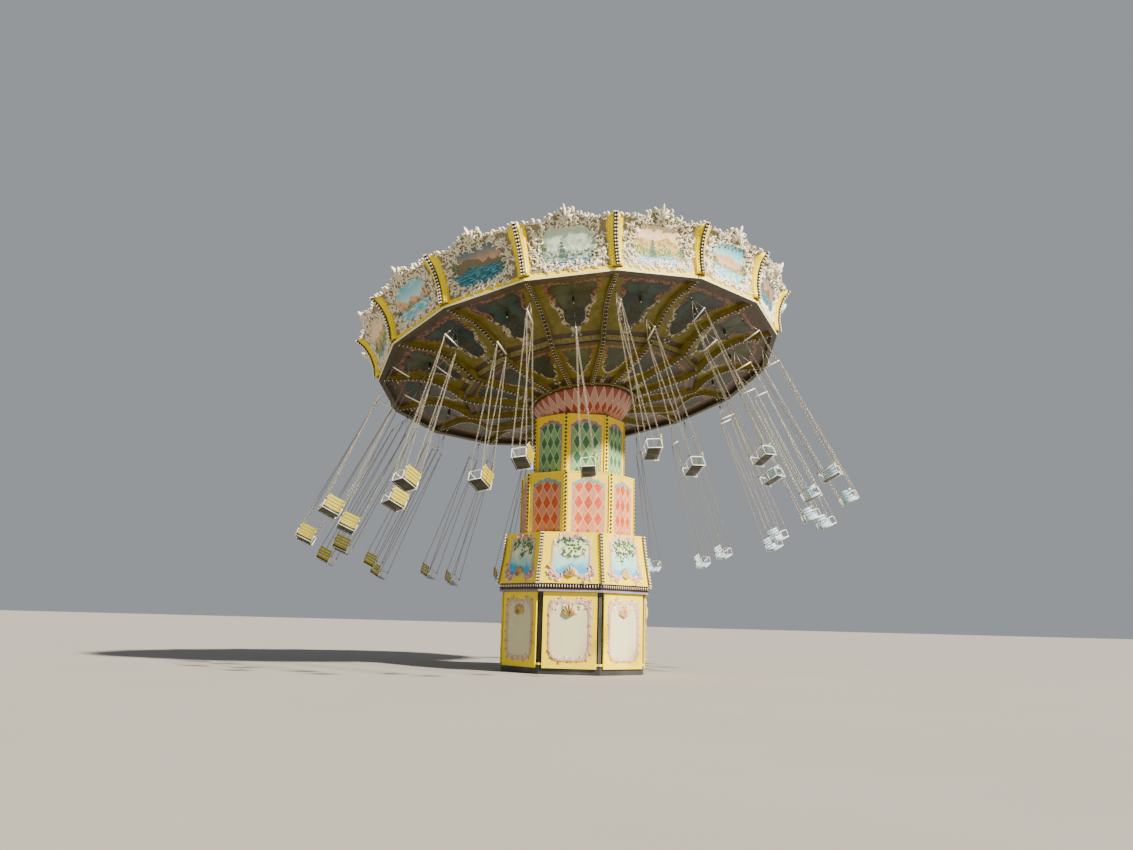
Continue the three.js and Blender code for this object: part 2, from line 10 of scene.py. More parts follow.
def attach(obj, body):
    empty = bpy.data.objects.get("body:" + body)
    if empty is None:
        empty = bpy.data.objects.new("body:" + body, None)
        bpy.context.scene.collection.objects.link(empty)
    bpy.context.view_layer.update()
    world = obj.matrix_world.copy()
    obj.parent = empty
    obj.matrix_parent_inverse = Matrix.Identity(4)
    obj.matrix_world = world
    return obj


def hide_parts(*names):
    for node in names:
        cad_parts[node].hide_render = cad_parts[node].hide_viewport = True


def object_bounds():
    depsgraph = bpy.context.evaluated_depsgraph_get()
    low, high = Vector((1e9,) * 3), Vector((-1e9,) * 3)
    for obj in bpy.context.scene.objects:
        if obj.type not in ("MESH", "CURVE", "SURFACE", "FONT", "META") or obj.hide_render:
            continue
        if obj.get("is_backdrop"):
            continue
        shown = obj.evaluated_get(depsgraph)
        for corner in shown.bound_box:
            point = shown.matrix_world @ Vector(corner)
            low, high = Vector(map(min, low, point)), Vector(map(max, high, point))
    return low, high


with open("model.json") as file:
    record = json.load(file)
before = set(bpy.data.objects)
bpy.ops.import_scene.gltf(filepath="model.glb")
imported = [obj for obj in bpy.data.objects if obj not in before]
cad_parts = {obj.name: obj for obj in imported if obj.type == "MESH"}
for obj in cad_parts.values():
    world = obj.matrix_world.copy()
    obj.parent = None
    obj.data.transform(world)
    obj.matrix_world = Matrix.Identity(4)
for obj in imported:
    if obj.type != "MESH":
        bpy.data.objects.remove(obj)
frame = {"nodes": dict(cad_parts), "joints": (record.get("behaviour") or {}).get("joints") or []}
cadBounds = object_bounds()

# Metres, +Z up. Azimuths run from -Y towards +X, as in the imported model.

crownSize = {
    "sectors": 16,
    "phase": 13.3,  # azimuth of the first corner
    "rimRise": 0.32,  # from the tilt pivot to the rim plane
    # Radius at a corner and height over the rim plane, then the crest's share across and stretch
    "boardProfile": [(6.8, 0.1303), (6.825, 0.52), (6.93, 0.92), (7.11, 1.25), (7.35, 1.5)],
    "crest": [(0, 1.0), (0.3, 1.0), (0.42, 1.14), (0.58, 1.14), (0.7, 1.0), (1, 1.0)],
    "crestRise": 0.21,  # highest part of the crest over the boards
    "crestLean": 0.105,  # and how far out it leans there
    "crestInset": 0.02,  # from a board's edge to the crest's end
}
boardTop = crownSize["boardProfile"][-1][1]
halfSector = math.radians(180 / crownSize["sectors"])
joints = {joint["name"]: joint for joint in frame["joints"]}


def outward(azimuth):
    return Vector((math.sin(math.radians(azimuth)), -math.cos(math.radians(azimuth)), 0))


def crownPlace():
    spin = joints["crown_spin"]
    axis = Vector(spin["axis"])
    turn = Vector((0, 0, 1)).rotation_difference(axis).to_matrix().to_4x4()
    pivot = Matrix.Translation(Vector(spin["pos_m"])) @ turn
    return pivot @ Matrix.Translation((0, 0, crownSize["rimRise"]))


crownFrame = crownPlace()  # origin at the middle of the rim plane, tilted as the crown is


def crownAzimuth(corner):  # of a corner, or with a half added of the sector after it
    return crownSize["phase"] + 360 / crownSize["sectors"] * corner


# Colours and node helpers


def tint(code):
    channels = [int(code[i : i + 2], 16) / 255 for i in (0, 2, 4)]
    linear = [c / 12.92 if c <= 0.04045 else ((c + 0.055) / 1.055) ** 2.4 for c in channels]
    return (*linear, 1)


class Graph:
    def __init__(self, tree):
        self.tree = tree

    def add(self, kind, **settings):
        node = self.tree.nodes.new(kind)
        for key, value in settings.items():
            setattr(node, key, value)
        return node

    def feed(self, socket, value):
        if isinstance(value, bpy.types.NodeSocket):
            self.tree.links.new(value, socket)
        else:
            socket.default_value = value

    def math(self, operation, *values, clamp=False):
        node = self.add("ShaderNodeMath", operation=operation, use_clamp=clamp)
        for socket, value in zip(node.inputs, values):
            self.feed(socket, value)
        return node.outputs[0]

    def step(self, value, low, high):  # 0 below low, 1 over high
        node = self.add("ShaderNodeMapRange", interpolation_type="SMOOTHSTEP")
        self.feed(node.inputs["Value"], value)
        node.inputs["From Min"].default_value = min(low, high)
        node.inputs["From Max"].default_value = max(low, high)
        node.inputs["To Min"].default_value = 0 if low < high else 1
        node.inputs["To Max"].default_value = 1 if low < high else 0
        return node.outputs["Result"]

    def mix(self, share, first, second):
        node = self.add("ShaderNodeMix", data_type="RGBA")
        self.feed(node.inputs[0], share)
        self.feed(node.inputs[6], first)
        self.feed(node.inputs[7], second)
        return node.outputs[2]

    def mixTones(self, share, codes):
        return self.mix(share, tint(codes[0]), tint(codes[1]))

    def join(self, x, y, z=0.0):
        node = self.add("ShaderNodeCombineXYZ")
        for socket, value in zip(node.inputs, (x, y, z)):
            self.feed(socket, value)
        return node.outputs[0]

    def split(self, vector):
        node = self.add("ShaderNodeSeparateXYZ")
        self.feed(node.inputs[0], vector)
        return node.outputs

    def noise(self, vector, scale, detail=2.0, roughness=0.5):
        node = self.add("ShaderNodeTexNoise")
        self.feed(node.inputs["Vector"], vector)
        node.inputs["Scale"].default_value = scale
        node.inputs["Detail"].default_value = detail
        node.inputs["Roughness"].default_value = roughness
        return node.outputs["Fac"]

    def cells(self, vector, scale):
        node = self.add("ShaderNodeTexVoronoi")
        self.feed(node.inputs["Vector"], vector)
        node.inputs["Scale"].default_value = scale
        return node.outputs["Distance"]

    def group(self, name, **values):
        node = self.add("ShaderNodeGroup")
        node.node_tree = bpy.data.node_groups[name]
        for key, value in values.items():
            self.feed(node.inputs[key], value)
        return node.outputs


def shaderGroup(name, inputs, outputs):
    tree = bpy.data.node_groups.new(name, "ShaderNodeTree")
    kinds = {"float": "NodeSocketFloat", "vector": "NodeSocketVector", "color": "NodeSocketColor"}
    for label, (kind, value) in inputs.items():
        socket = tree.interface.new_socket(name=label, in_out="INPUT", socket_type=kinds[kind])
        if value is not None:
            socket.default_value = value
    for label, kind in outputs.items():
        tree.interface.new_socket(name=label, in_out="OUTPUT", socket_type=kinds[kind])
    graph = Graph(tree)
    entry = graph.add("NodeGroupInput")
    leave = graph.add("NodeGroupOutput")
    return graph, entry.outputs, leave.inputs


# Shared effects


weatherLook = {"faded": "f3ead2", "dirt": "4a4034", "streaks": 9, "bump": 0.35}


def makeWeathering():
    # Faded patches, grime in streaks and a fine unevenness for bump and gloss
    inputs = {
        "Position": ("vector", None),
        "Fade": ("float", 0.25),
        "Dirt": ("float", 0.3),
        "Paint": ("color", (1, 1, 1, 1)),
    }
    outputs = {"Color": "color", "Roughness": "float", "Height": "float"}
    graph, given, result = shaderGroup("weathering", inputs, outputs)
    broad = graph.noise(given["Position"], 0.9, 4)
    fine = graph.noise(given["Position"], 14, 5, 0.65)
    x, y, z = graph.split(given["Position"])
    narrowX, narrowY = (graph.math("MULTIPLY", axis, weatherLook["streaks"]) for axis in (x, y))
    streakPlace = graph.join(narrowX, narrowY, z)
    streaks = graph.step(graph.noise(streakPlace, 1.2, 4, 0.6), 0.5, 0.78)
    pale = graph.mix(0.35, given["Paint"], tint(weatherLook["faded"]))
    fadeShare = graph.math("MULTIPLY", graph.step(broad, 0.35, 0.7), given["Fade"])
    faded = graph.mix(fadeShare, given["Paint"], pale)
    spots = graph.math("MULTIPLY_ADD", fine, 0.5, streaks, clamp=True)
    dirtShare = graph.math("MULTIPLY", spots, given["Dirt"])
    graph.feed(result["Color"], graph.mix(dirtShare, faded, tint(weatherLook["dirt"])))
    rough = graph.math("MULTIPLY_ADD", dirtShare, 0.35, graph.math("MULTIPLY_ADD", fine, 0.16, 0.3))
    graph.feed(result["Roughness"], rough)
    graph.feed(result["Height"], fine)


def makeCrownPolar():
    # Place in the crown: outwards along a sector's middle, across it, the sector's number,
    # height over the rim plane, and the turn counted in sectors
    outputs = {label: "float" for label in ("Reach", "Across", "Sector", "Height", "Turn")}
    graph, given, result = shaderGroup("crownPolar", {"Position": ("vector", None)}, outputs)
    mapping = graph.add("ShaderNodeMapping", vector_type="TEXTURE")
    graph.feed(mapping.inputs["Vector"], given["Position"])
    mapping.inputs["Location"].default_value = crownFrame.to_translation()
    mapping.inputs["Rotation"].default_value = crownFrame.to_euler()
    x, y, z = graph.split(mapping.outputs[0])
    pitch = 2 * math.pi / crownSize["sectors"]
    turn = graph.math("ARCTAN2", x, graph.math("MULTIPLY", y, -1))
    shifted = graph.math("SUBTRACT", turn, math.radians(crownSize["phase"]))
    share = graph.math("DIVIDE", shifted, pitch)
    sector = graph.math("FLOOR", share)
    fromMiddle = graph.math("SUBTRACT", graph.math("SUBTRACT", share, sector), 0.5)
    lean = graph.math("MULTIPLY", fromMiddle, pitch)
    squares = graph.math("ADD", graph.math("POWER", x, 2), graph.math("POWER", y, 2))
    radius = graph.math("SQRT", squares)
    graph.feed(result["Reach"], graph.math("MULTIPLY", radius, graph.math("COSINE", lean)))
    graph.feed(result["Across"], graph.math("MULTIPLY", radius, graph.math("SINE", lean)))
    graph.feed(result["Sector"], sector)
    graph.feed(result["Height"], z)
    graph.feed(result["Turn"], share)


landscapeTones = {
    "skyTop": ("a5cbb3", "e9c7a0", "52aecb", "3d6b78"),
    "skyLow": ("dde9d0", "f3e0b8", "bfe4e2", "c79a78"),
    "far": ("9fb7a6", "b8825f", "d9af8c", "7a5a4a"),
    "woodsDark": ("3c5a52", "3d5a3f", "6d7a58", "2a3c34"),
    "woodsLight": ("cbdac6", "c9c862", "cfa97e", "5d6e52"),
    "waterDark": ("2b6072", "3386a8", "46b0cf", "0f5468"),
    "waterLight": ("dfe9dc", "a9d3c9", "dff0ea", "5aa6b0"),
}
landscapeShores = (0.17, 0.24, 0.36, 0.5)  # how far up the water comes in each mood


def makeLandscape():
    # Water between hills, in one of four moods by Seed: Across from -1 to 1, Up from 0 to 1
    inputs = {"Across": ("float", 0), "Up": ("float", 0), "Seed": ("float", 0)}
    graph, given, result = shaderGroup("landscape", inputs, {"Color": "color"})
    across, up = given["Across"], given["Up"]
    mood = graph.math("MODULO", given["Seed"], 4)
    steps = [graph.step(mood, i + 0.4, i + 0.6) for i in range(3)]

    def tone(key):
        color = tint(landscapeTones[key][0])
        for share, code in zip(steps, landscapeTones[key][1:]):
            color = graph.mix(share, color, tint(code))
        return color

    seedShift = graph.math("MULTIPLY", given["Seed"], 7.31)
    place = graph.join(graph.math("ADD", across, seedShift), up, given["Seed"])
    ridge = graph.join(graph.math("ADD", across, seedShift), given["Seed"], 0.0)
    sky = graph.mix(graph.step(up, 0.5, 1.0), tone("skyLow"), tone("skyTop"))
    clouds = graph.step(graph.noise(place, 2.6, 5), 0.5, 0.7)
    sky = graph.mix(graph.math("MULTIPLY", clouds, 0.7), sky, tone("skyLow"))
    farLine = graph.math("MULTIPLY_ADD", graph.noise(ridge, 1.9, 4), 0.75, 0.28)
    farHills = graph.step(graph.math("SUBTRACT", farLine, up), 0, 0.02)
    rockShare = graph.step(graph.noise(place, 7, 5), 0.42, 0.6)
    rocks = graph.mix(rockShare, tone("far"), tone("woodsLight"))
    scene = graph.mix(farHills, sky, rocks)
    nearLine = graph.math("MULTIPLY_ADD", graph.noise(ridge, 3.1, 5), 0.6, 0.16)
    nearHills = graph.step(graph.math("SUBTRACT", nearLine, up), 0, 0.015)
    grain = graph.noise(place, 13, 6, 0.7)
    woods = graph.mix(graph.step(grain, 0.44, 0.6), tone("woodsDark"), tone("woodsLight"))
    scene = graph.mix(nearHills, scene, woods)
    wide, flat = graph.math("MULTIPLY", across, 3.0), graph.math("MULTIPLY", up, 17)
    waves = graph.noise(graph.join(wide, flat, given["Seed"]), 1.6, 4, 0.6)
    water = graph.mix(graph.step(waves, 0.42, 0.66), tone("waterDark"), tone("waterLight"))
    shore = graph.noise(ridge, 4.1, 2)
    for share, low, high in zip(steps, landscapeShores, landscapeShores[1:]):
        shore = graph.math("MULTIPLY_ADD", share, (high - low) * 4, shore)
    shore = graph.math("MULTIPLY_ADD", shore, 0.25, landscapeShores[0] - 0.125)
    scene = graph.mix(graph.step(graph.math("SUBTRACT", shore, up), 0, 0.02), scene, water)
    firHeight = graph.math("SUBTRACT", 0.86, up)
    teeth = graph.math("MULTIPLY", graph.math("PINGPONG", up, 0.045), 1.7)
    firHalf = graph.math("SUBTRACT", graph.math("MULTIPLY", firHeight, 0.34), teeth)
    firSide = graph.math("ABSOLUTE", graph.math("ADD", across, 0.22))
    fir = graph.step(graph.math("SUBTRACT", firHalf, firSide), 0, 0.03)
    fir = graph.math("MULTIPLY", fir, graph.step(up, 0.14, 0.2))
    fir = graph.math("MULTIPLY", fir, graph.math("SUBTRACT", 1.0, steps[1]))
    needles = graph.mix(graph.step(grain, 0.5, 0.62), tone("woodsDark"), tint("8fa58f"))
    scene = graph.mix(fir, scene, needles)
    side = graph.math("ABSOLUTE", across)
    bush = graph.math("MULTIPLY_ADD", side, 0.42, graph.noise(place, 4.5, 6, 0.7))
    leafy = graph.mixTones(graph.step(grain, 0.42, 0.6), ("22382c", "6a8450"))
    scene = graph.mix(graph.step(bush, 0.86, 0.92), scene, leafy)
    graph.feed(result["Color"], scene)


def makeFoliageSky():
    # A pale sky with hanging sprays of leaves: Across and Up in metres from the picture's middle
    inputs = {"Across": ("float", 0), "Up": ("float", 0), "Seed": ("float", 0)}
    graph, given, result = shaderGroup("foliageSky", inputs, {"Color": "color"})
    place = graph.join(given["Across"], given["Up"], graph.math("MULTIPLY", given["Seed"], 3.7))
    drift = graph.noise(place, 2.2, 3)
    drifted = graph.math("MULTIPLY", graph.math("SUBTRACT", drift, 0.5), 0.9)
    level = graph.math("ADD", given["Up"], drifted)
    sky = graph.mixTones(graph.step(level, -0.45, -0.12), ("3ea6e2", "a3dcd2"))
    sky = graph.mix(graph.step(level, -0.1, 0.16), sky, tint("eaf1bd"))
    sky = graph.mix(graph.step(level, 0.2, 0.5), sky, tint("a6cfa8"))
    side = graph.math("ABSOLUTE", given["Across"])
    clusters = graph.noise(place, 2.9, 4, 0.6)
    hang = graph.math("MULTIPLY_ADD", given["Up"], 0.42, clusters)
    hang = graph.math("SUBTRACT", hang, graph.math("MULTIPLY", side, 0.32))
    leaves = graph.cells(place, 13)
    leafShape = graph.math("MULTIPLY", graph.step(leaves, 0.62, 0.5), graph.step(hang, 0.42, 0.51))
    lightShare = graph.step(graph.noise(place, 24, 2), 0.42, 0.58)
    foliage = graph.mixTones(lightShare, ("0d2114", "3e6436"))
    painted = graph.mix(graph.math("MULTIPLY", leafShape, 0.95), sky, foliage)
    winding = graph.math("SUBTRACT", graph.noise(place, 5.0, 1), 0.5)
    stems = graph.step(graph.math("ABSOLUTE", winding), 0.014, 0.006)
    stems = graph.math("MULTIPLY", stems, graph.step(hang, 0.36, 0.5))
    graph.feed(result["Color"], graph.mix(stems, painted, tint("3f4a2c")))


for maker in (makeWeathering, makeCrownPolar, makeLandscape, makeFoliageSky):
    maker()
print("shared shader groups made")


# Materials


def newMaterial(name, roughness=0.5, metallic=0.0, coat=0.0, specular=0.25):
    material = bpy.data.materials.new(name)
    material.use_nodes = True
    shader = material.node_tree.nodes["Principled BSDF"]
    shader.inputs["Roughness"].default_value = roughness
    shader.inputs["Metallic"].default_value = metallic
    shader.inputs["Coat Weight"].default_value = coat
    shader.inputs["Specular IOR Level"].default_value = specular
    graph = Graph(material.node_tree)
    return material, graph, shader


def objectPlace(graph):
    return graph.add("ShaderNodeTexCoord").outputs["Object"]


def uvPlace(graph):
    return graph.split(graph.add("ShaderNodeUVMap").outputs["UV"])


def seedOf(graph):
    return graph.add("ShaderNodeAttribute", attribute_name="seed").outputs["Fac"]


def weathered(graph, shader, paint, fade, dirt, depth=0.002):
    place = objectPlace(graph)
    result = graph.group("weathering", Position=place, Fade=fade, Dirt=dirt, Paint=paint)
    graph.feed(shader.inputs["Base Color"], result["Color"])
    graph.feed(shader.inputs["Roughness"], result["Roughness"])
    bump = graph.add("ShaderNodeBump")
    bump.inputs["Strength"].default_value = weatherLook["bump"]
    bump.inputs["Distance"].default_value = depth
    graph.feed(bump.inputs["Height"], result["Height"])
    graph.feed(shader.inputs["Normal"], bump.outputs["Normal"])


def plainPaint(name, color, fade, dirt, coat=0.04, metallic=0.0):
    material, graph, shader = newMaterial(name, 0.45, metallic, coat)
    weathered(graph, shader, tint(color), fade, dirt)
    return material


def hollowShadePaint(name, color, shadeColor, scale):
    # Carved relief: paint on the high places and painted shade in the low ones, with random patches
    # of dirt
    material, graph, shader = newMaterial(name, 0.5)
    patches = graph.step(graph.noise(objectPlace(graph), scale, 4, 0.7), 0.6, 0.42)
    # Low pointiness marks the hollows, which are darkened as painted shade
    pointiness = graph.add("ShaderNodeNewGeometry").outputs["Pointiness"]
    hollowShadeMask = graph.math("MULTIPLY", graph.step(pointiness, 0.5, 0.42), 0.8)
    dirtAndHollowShade = graph.math("MAXIMUM", graph.math("MULTIPLY", patches, 0.25), hollowShadeMask)
    weathered(graph, shader, graph.mixTones(dirtAndHollowShade, (color, shadeColor)), 0.05, 0.12, 0.003)
    return material


def latticePaint(name, look):
    # An arched panel with a diamond lattice, on the piece's own UV in metres
    material, graph, shader = newMaterial(name, 0.45, 0, 0.04)
    u, v, _ = uvPlace(graph)
    side = graph.math("ABSOLUTE", u)
    wave = graph.math("SINE", graph.math("MULTIPLY", side, look["scallops"]))
    wobble = graph.math("MULTIPLY", wave, look["scallop"])
    sag = graph.math("MULTIPLY", graph.math("POWER", side, 2), look["arch"])
    arch = graph.math("ADD", graph.math("SUBTRACT", look["top"], sag), wobble)
    upper = graph.math("SUBTRACT", arch, v)
    edge = graph.math("MINIMUM", upper, graph.math("SUBTRACT", look["half"], side))
    edge = graph.math("MINIMUM", edge, graph.math("SUBTRACT", v, look["bottom"]))
    stepX, stepZ = look["pitch"]
    across = graph.math("MULTIPLY", graph.math("PINGPONG", u, stepX / 2), 2 / stepX)
    rise = graph.math("PINGPONG", graph.math("SUBTRACT", v, look["row"]), stepZ / 2)
    diamond = graph.math("ADD", across, graph.math("MULTIPLY", rise, 2 / stepZ))
    inside = graph.step(diamond, 1.02, 0.98)
    fromLine = graph.math("ABSOLUTE", graph.math("SUBTRACT", diamond, 1))
    line = graph.step(fromLine, look["line"], look["line"] * 0.6)
    brush = graph.step(graph.noise(graph.join(u, v, 0.0), 9, 5, 0.65), 0.35, 0.7)
    field, filled = (graph.mixTones(brush, look[key]) for key in ("field", "filled"))
    lattice = graph.mix(line, graph.mix(inside, field, filled), tint(look["lines"]))
    topBand = graph.step(upper, look["crown"], look["crown"] - 0.012)
    border = graph.math("MAXIMUM", topBand, graph.step(edge, look["border"], look["border"] * 0.85))
    scroll = graph.step(graph.noise(graph.join(u, v, 3.0), 17, 3, 0.6), 0.45, 0.55)
    rim = graph.mixTones(scroll, look["rim"])
    panel = graph.mix(border, lattice, rim)
    paint = graph.mix(graph.step(edge, -0.004, 0.004), tint(look["ground"]), panel)
    weathered(graph, shader, paint, 0.06, 0.14)
    return material


lowerLattice = {
    "half": 0.545, "top": 2.2, "arch": 0.62, "bottom": 0.2, "scallop": 0.02, "scallops": 26,
    "pitch": (0.32, 0.517), "row": 0.38, "line": 0.09, "border": 0.04, "crown": 0.13,
    "field": ("c47a68", "dc9580"), "filled": ("b8452f", "d25f47"), "lines": "eac454",
    "rim": ("4f8f90", "9bb0a4"), "ground": "f6cf12",
}
upperLattice = {
    "half": 0.505, "top": 2.24, "arch": 0.7, "bottom": 0.1, "scallop": 0.02, "scallops": 26,
    "pitch": (0.29, 0.516), "row": 0.452, "line": 0.1, "border": 0.035, "crown": 0.12,
    "field": ("6fa072", "8bb888"), "filled": ("2f6b4e", "437f5c"), "lines": "c8d47c",
    "rim": ("8a5a78", "b98a98"), "ground": "f6cf12",
}
bellLook = {
    "count": 32, "triangle": 0.46, "middle": 0.72, "tall": 0.24, "wide": 0.85,
    "tones": [  # above, below, triangles, diamonds
        ("9c7469", "b08a7e"), ("a35d43", "b57257"), ("7f3b33", "924b42"), ("7c2018", "9a3527"),
    ],
    "lines": "d9ad80",
}


def bellPaint():
    # Dark triangles under the rim, tall pale diamonds and a row of red ones
    material, graph, shader = newMaterial("bellPaint", 0.45, 0, 0.04)
    u, v, _ = uvPlace(graph)  # u counts triangles round the bowl, v is the way down it in metres
    across = graph.math("MULTIPLY", graph.math("PINGPONG", u, 0.5), 2)
    triangle = graph.math("MULTIPLY_ADD", v, 1 / bellLook["triangle"], across)
    level = graph.math("ABSOLUTE", graph.math("SUBTRACT", v, bellLook["middle"]))
    spread = graph.math("MULTIPLY", across, 1 / bellLook["wide"])
    diamond = graph.math("MULTIPLY_ADD", level, 1 / bellLook["tall"], spread)
    brush = graph.noise(graph.join(graph.math("MULTIPLY", u, 0.4), v, 0.0), 9, 4, 0.6)
    pale, low, dark, red = (graph.mixTones(brush, tones) for tones in bellLook["tones"])
    paint = graph.mix(graph.step(v, 0.72, 0.8), pale, low)
    paint = graph.mix(graph.step(triangle, 1.02, 0.98), paint, dark)
    paint = graph.mix(graph.step(diamond, 1.02, 0.98), paint, red)
    for edge, width in ((triangle, 0.06), (diamond, 0.085)):
        fromLine = graph.math("ABSOLUTE", graph.math("SUBTRACT", edge, 1))
        line = graph.step(fromLine, width, width * 0.6)
        paint = graph.mix(line, paint, tint(bellLook["lines"]))
    weathered(graph, shader, paint, 0.06, 0.14)
    return material


def picturePaint(name, group):
    # A painting from a shared group, on the piece's own UV, another one for each seed
    material, graph, shader = newMaterial(name, 0.42, 0, 0.06)
    u, v, _ = uvPlace(graph)
    result = graph.group(group, Across=u, Up=v, Seed=seedOf(graph))
    weathered(graph, shader, result["Color"], 0.1, 0.12, 0.001)
    return material


# Darkened ceiling tones: painted shade under the crown
ceilingTonesInPaintedShade = {
    "warm": ("2e311c", "3b4933"),
    "leaves": ("10140f", "2a3320"),
    "pinkEdge": ("2f201a", "7d5345"),
    "whiteEdge": ("332e25", "a39b82"),
    "side": ("5a520c", "6f660f"),
    "band": ("35281d", "463527"),
    "sprigs": "6d382d",
}


def ceilingPaint(name, look):
    # A shield-shaped painting in each sector, scrolls round it, yellow beside it, brown outside, all
    # in darkened tones as painted shade under the crown
    material, graph, shader = newMaterial(name, 0.5, 0, 0.1)
    place = objectPlace(graph)
    polar = graph.group("crownPolar", Position=place)
    reach, across, sector = polar["Reach"], polar["Across"], polar["Sector"]
    side = graph.math("ABSOLUTE", across)
    seedShift = graph.math("MULTIPLY", sector, 5.17)
    local = graph.join(reach, across, seedShift)
    mirrored = graph.join(reach, side, seedShift)
    span = look["outer"] - look["inner"]
    along = graph.math("DIVIDE", graph.math("SUBTRACT", reach, look["inner"]), span)
    waves = graph.math("SINE", graph.math("MULTIPLY", along, 17))
    ripple = graph.math("MULTIPLY", waves, look["ripple"])
    taper = graph.math("POWER", graph.math("MAXIMUM", along, 0.0), 0.55)
    width = graph.math("ADD", graph.math("MULTIPLY", taper, look["half"]), ripple)
    sideRoom = graph.math("SUBTRACT", width, side)
    room = graph.math("MINIMUM", sideRoom, graph.math("SUBTRACT", look["outer"], reach))
    wobble = graph.math("SUBTRACT", graph.noise(mirrored, 5.0, 3, 0.6), 0.5)
    room = graph.math("MULTIPLY_ADD", wobble, look["wobble"], room)
    wave = graph.noise(local, 6.5, 5, 0.65)
    broad = graph.noise(local, 1.5, 3)
    mood = graph.math("FRACT", graph.math("MULTIPLY", sector, 0.31))
    patches = graph.step(broad, 0.4, 0.6)
    cool = graph.mixTones(patches, look["picture"])
    warm = graph.mixTones(patches, ceilingTonesInPaintedShade["warm"])
    field = graph.mix(graph.step(mood, 0.45, 0.75), cool, warm)
    distance = graph.math("MULTIPLY_ADD", side, look["spread"], graph.math("MULTIPLY", wave, -0.9))
    tree = graph.step(graph.math("ADD", distance, graph.math("MULTIPLY", along, 0.35)), 0.02, -0.14)
    bushes = graph.math("SUBTRACT", wave, graph.math("MULTIPLY", room, look["bush"]))
    bush = graph.step(bushes, 0.3, 0.42)
    leafy = graph.mixTones(graph.step(graph.noise(local, 19, 3), 0.42, 0.6), ceilingTonesInPaintedShade["leaves"])
    picture = graph.mix(graph.math("MAXIMUM", tree, bush), field, leafy)
    scrolls = graph.step(graph.noise(mirrored, 10, 2, 0.7), 0.47, 0.53)
    pinkEdge = graph.mixTones(scrolls, ceilingTonesInPaintedShade["pinkEdge"])
    whiteEdge = graph.mixTones(scrolls, ceilingTonesInPaintedShade["whiteEdge"])
    edging = graph.mix(graph.step(along, 0.62, 0.4), pinkEdge, whiteEdge)
    sideField = graph.mixTones(graph.step(wave, 0.35, 0.7), ceilingTonesInPaintedShade["side"])
    sprig = graph.step(graph.cells(mirrored, 4.5), 0.2, 0.1)
    bandTone = graph.mixTones(graph.step(wave, 0.35, 0.65), ceilingTonesInPaintedShade["band"])
    sprigs = graph.math("MULTIPLY", sprig, scrolls)
    outerBand = graph.mix(sprigs, bandTone, tint(ceilingTonesInPaintedShade["sprigs"]))
    farOut = graph.step(reach, look["bandFrom"], look["bandFrom"] + 0.03)
    farIn = graph.step(reach, look["innerBand"] + 0.03, look["innerBand"])
    ground = graph.mix(farOut, sideField, outerBand)
    ground = graph.mix(farIn, ground, outerBand)
    paint = graph.mix(graph.step(room, -look["edging"], -look["edging"] + 0.02), ground, edging)
    paint = graph.mix(graph.step(room, 0.0, 0.015), paint, picture)
    weathered(graph, shader, paint, 0.05, 0.3)
    return material


# The picture tones of both looks are darkened as painted shade under the crown
outerCeilingLook = {
    "inner": 4.25, "outer": 6.02, "half": 0.74, "ripple": 0.05, "wobble": 0.26, "edging": 0.16,
    "bandFrom": 6.12, "innerBand": 4.06, "spread": 1.5, "bush": 1.9,
    "picture": ("0a222f", "203e3a"),
}
innerCeilingLook = {
    "inner": 2.3, "outer": 3.55, "half": 0.44, "ripple": 0.02, "wobble": 0.16, "edging": 0.09,
    "bandFrom": 3.66, "innerBand": 2.05, "spread": 3.0, "bush": 3.5,
    "picture": ("0f2221", "2b3a2b"),
}


def beamInPaintedShade():
    material, graph, shader = newMaterial("beamInPaintedShade", 0.5, 0, 0.1)
    place = objectPlace(graph)
    wave = graph.noise(place, 5, 4, 0.6)
    # The yellow beams are painted dark olive: painted shade under the crown
    paint = graph.mixTones(graph.step(wave, 0.35, 0.7), ("6b5c0c", "837214"))
    weathered(graph, shader, paint, 0.05, 0.3)
    return material


def rimPaint():
    # Yellow on the outer face over a cream line, and dark olive-brown underneath and on the inner
    # face as painted shade
    material, graph, shader = newMaterial("rimPaint", 0.5, 0, 0.1)
    place = objectPlace(graph)
    polar = graph.group("crownPolar", Position=place)
    farOut = graph.step(polar["Reach"], 6.6, 6.62)
    outside = graph.math("MULTIPLY", farOut, graph.step(polar["Height"], 0.002, 0.006))
    wave = graph.noise(place, 5, 4, 0.6)
    # Painted shade: the underside and inner face are darkened for the shadow that falls there
    under = graph.mixTones(graph.step(wave, 0.35, 0.7), ("33301c", "403b24"))
    face = graph.mixTones(graph.step(polar["Height"], 0.045, 0.052), ("f6efcf", "f4d70e"))
    weathered(graph, shader, graph.mix(outside, under, face), 0.04, 0.2)
    return material


def riserPaint():
    material, graph, shader = newMaterial("riserPaint", 0.5, 0, 0.1)
    place = objectPlace(graph)
    polar = graph.group("crownPolar", Position=place)
    local = graph.join(polar["Across"], polar["Height"], polar["Sector"])
    scrolls = graph.step(graph.noise(local, 15, 3, 0.6), 0.46, 0.54)
    paint = graph.mixTones(scrolls, ("928a42", "6f682c"))
    paint = graph.mix(graph.step(graph.cells(local, 9), 0.18, 0.1), paint, tint("a26c4e"))
    weathered(graph, shader, paint, 0.1, 0.25)
    return material


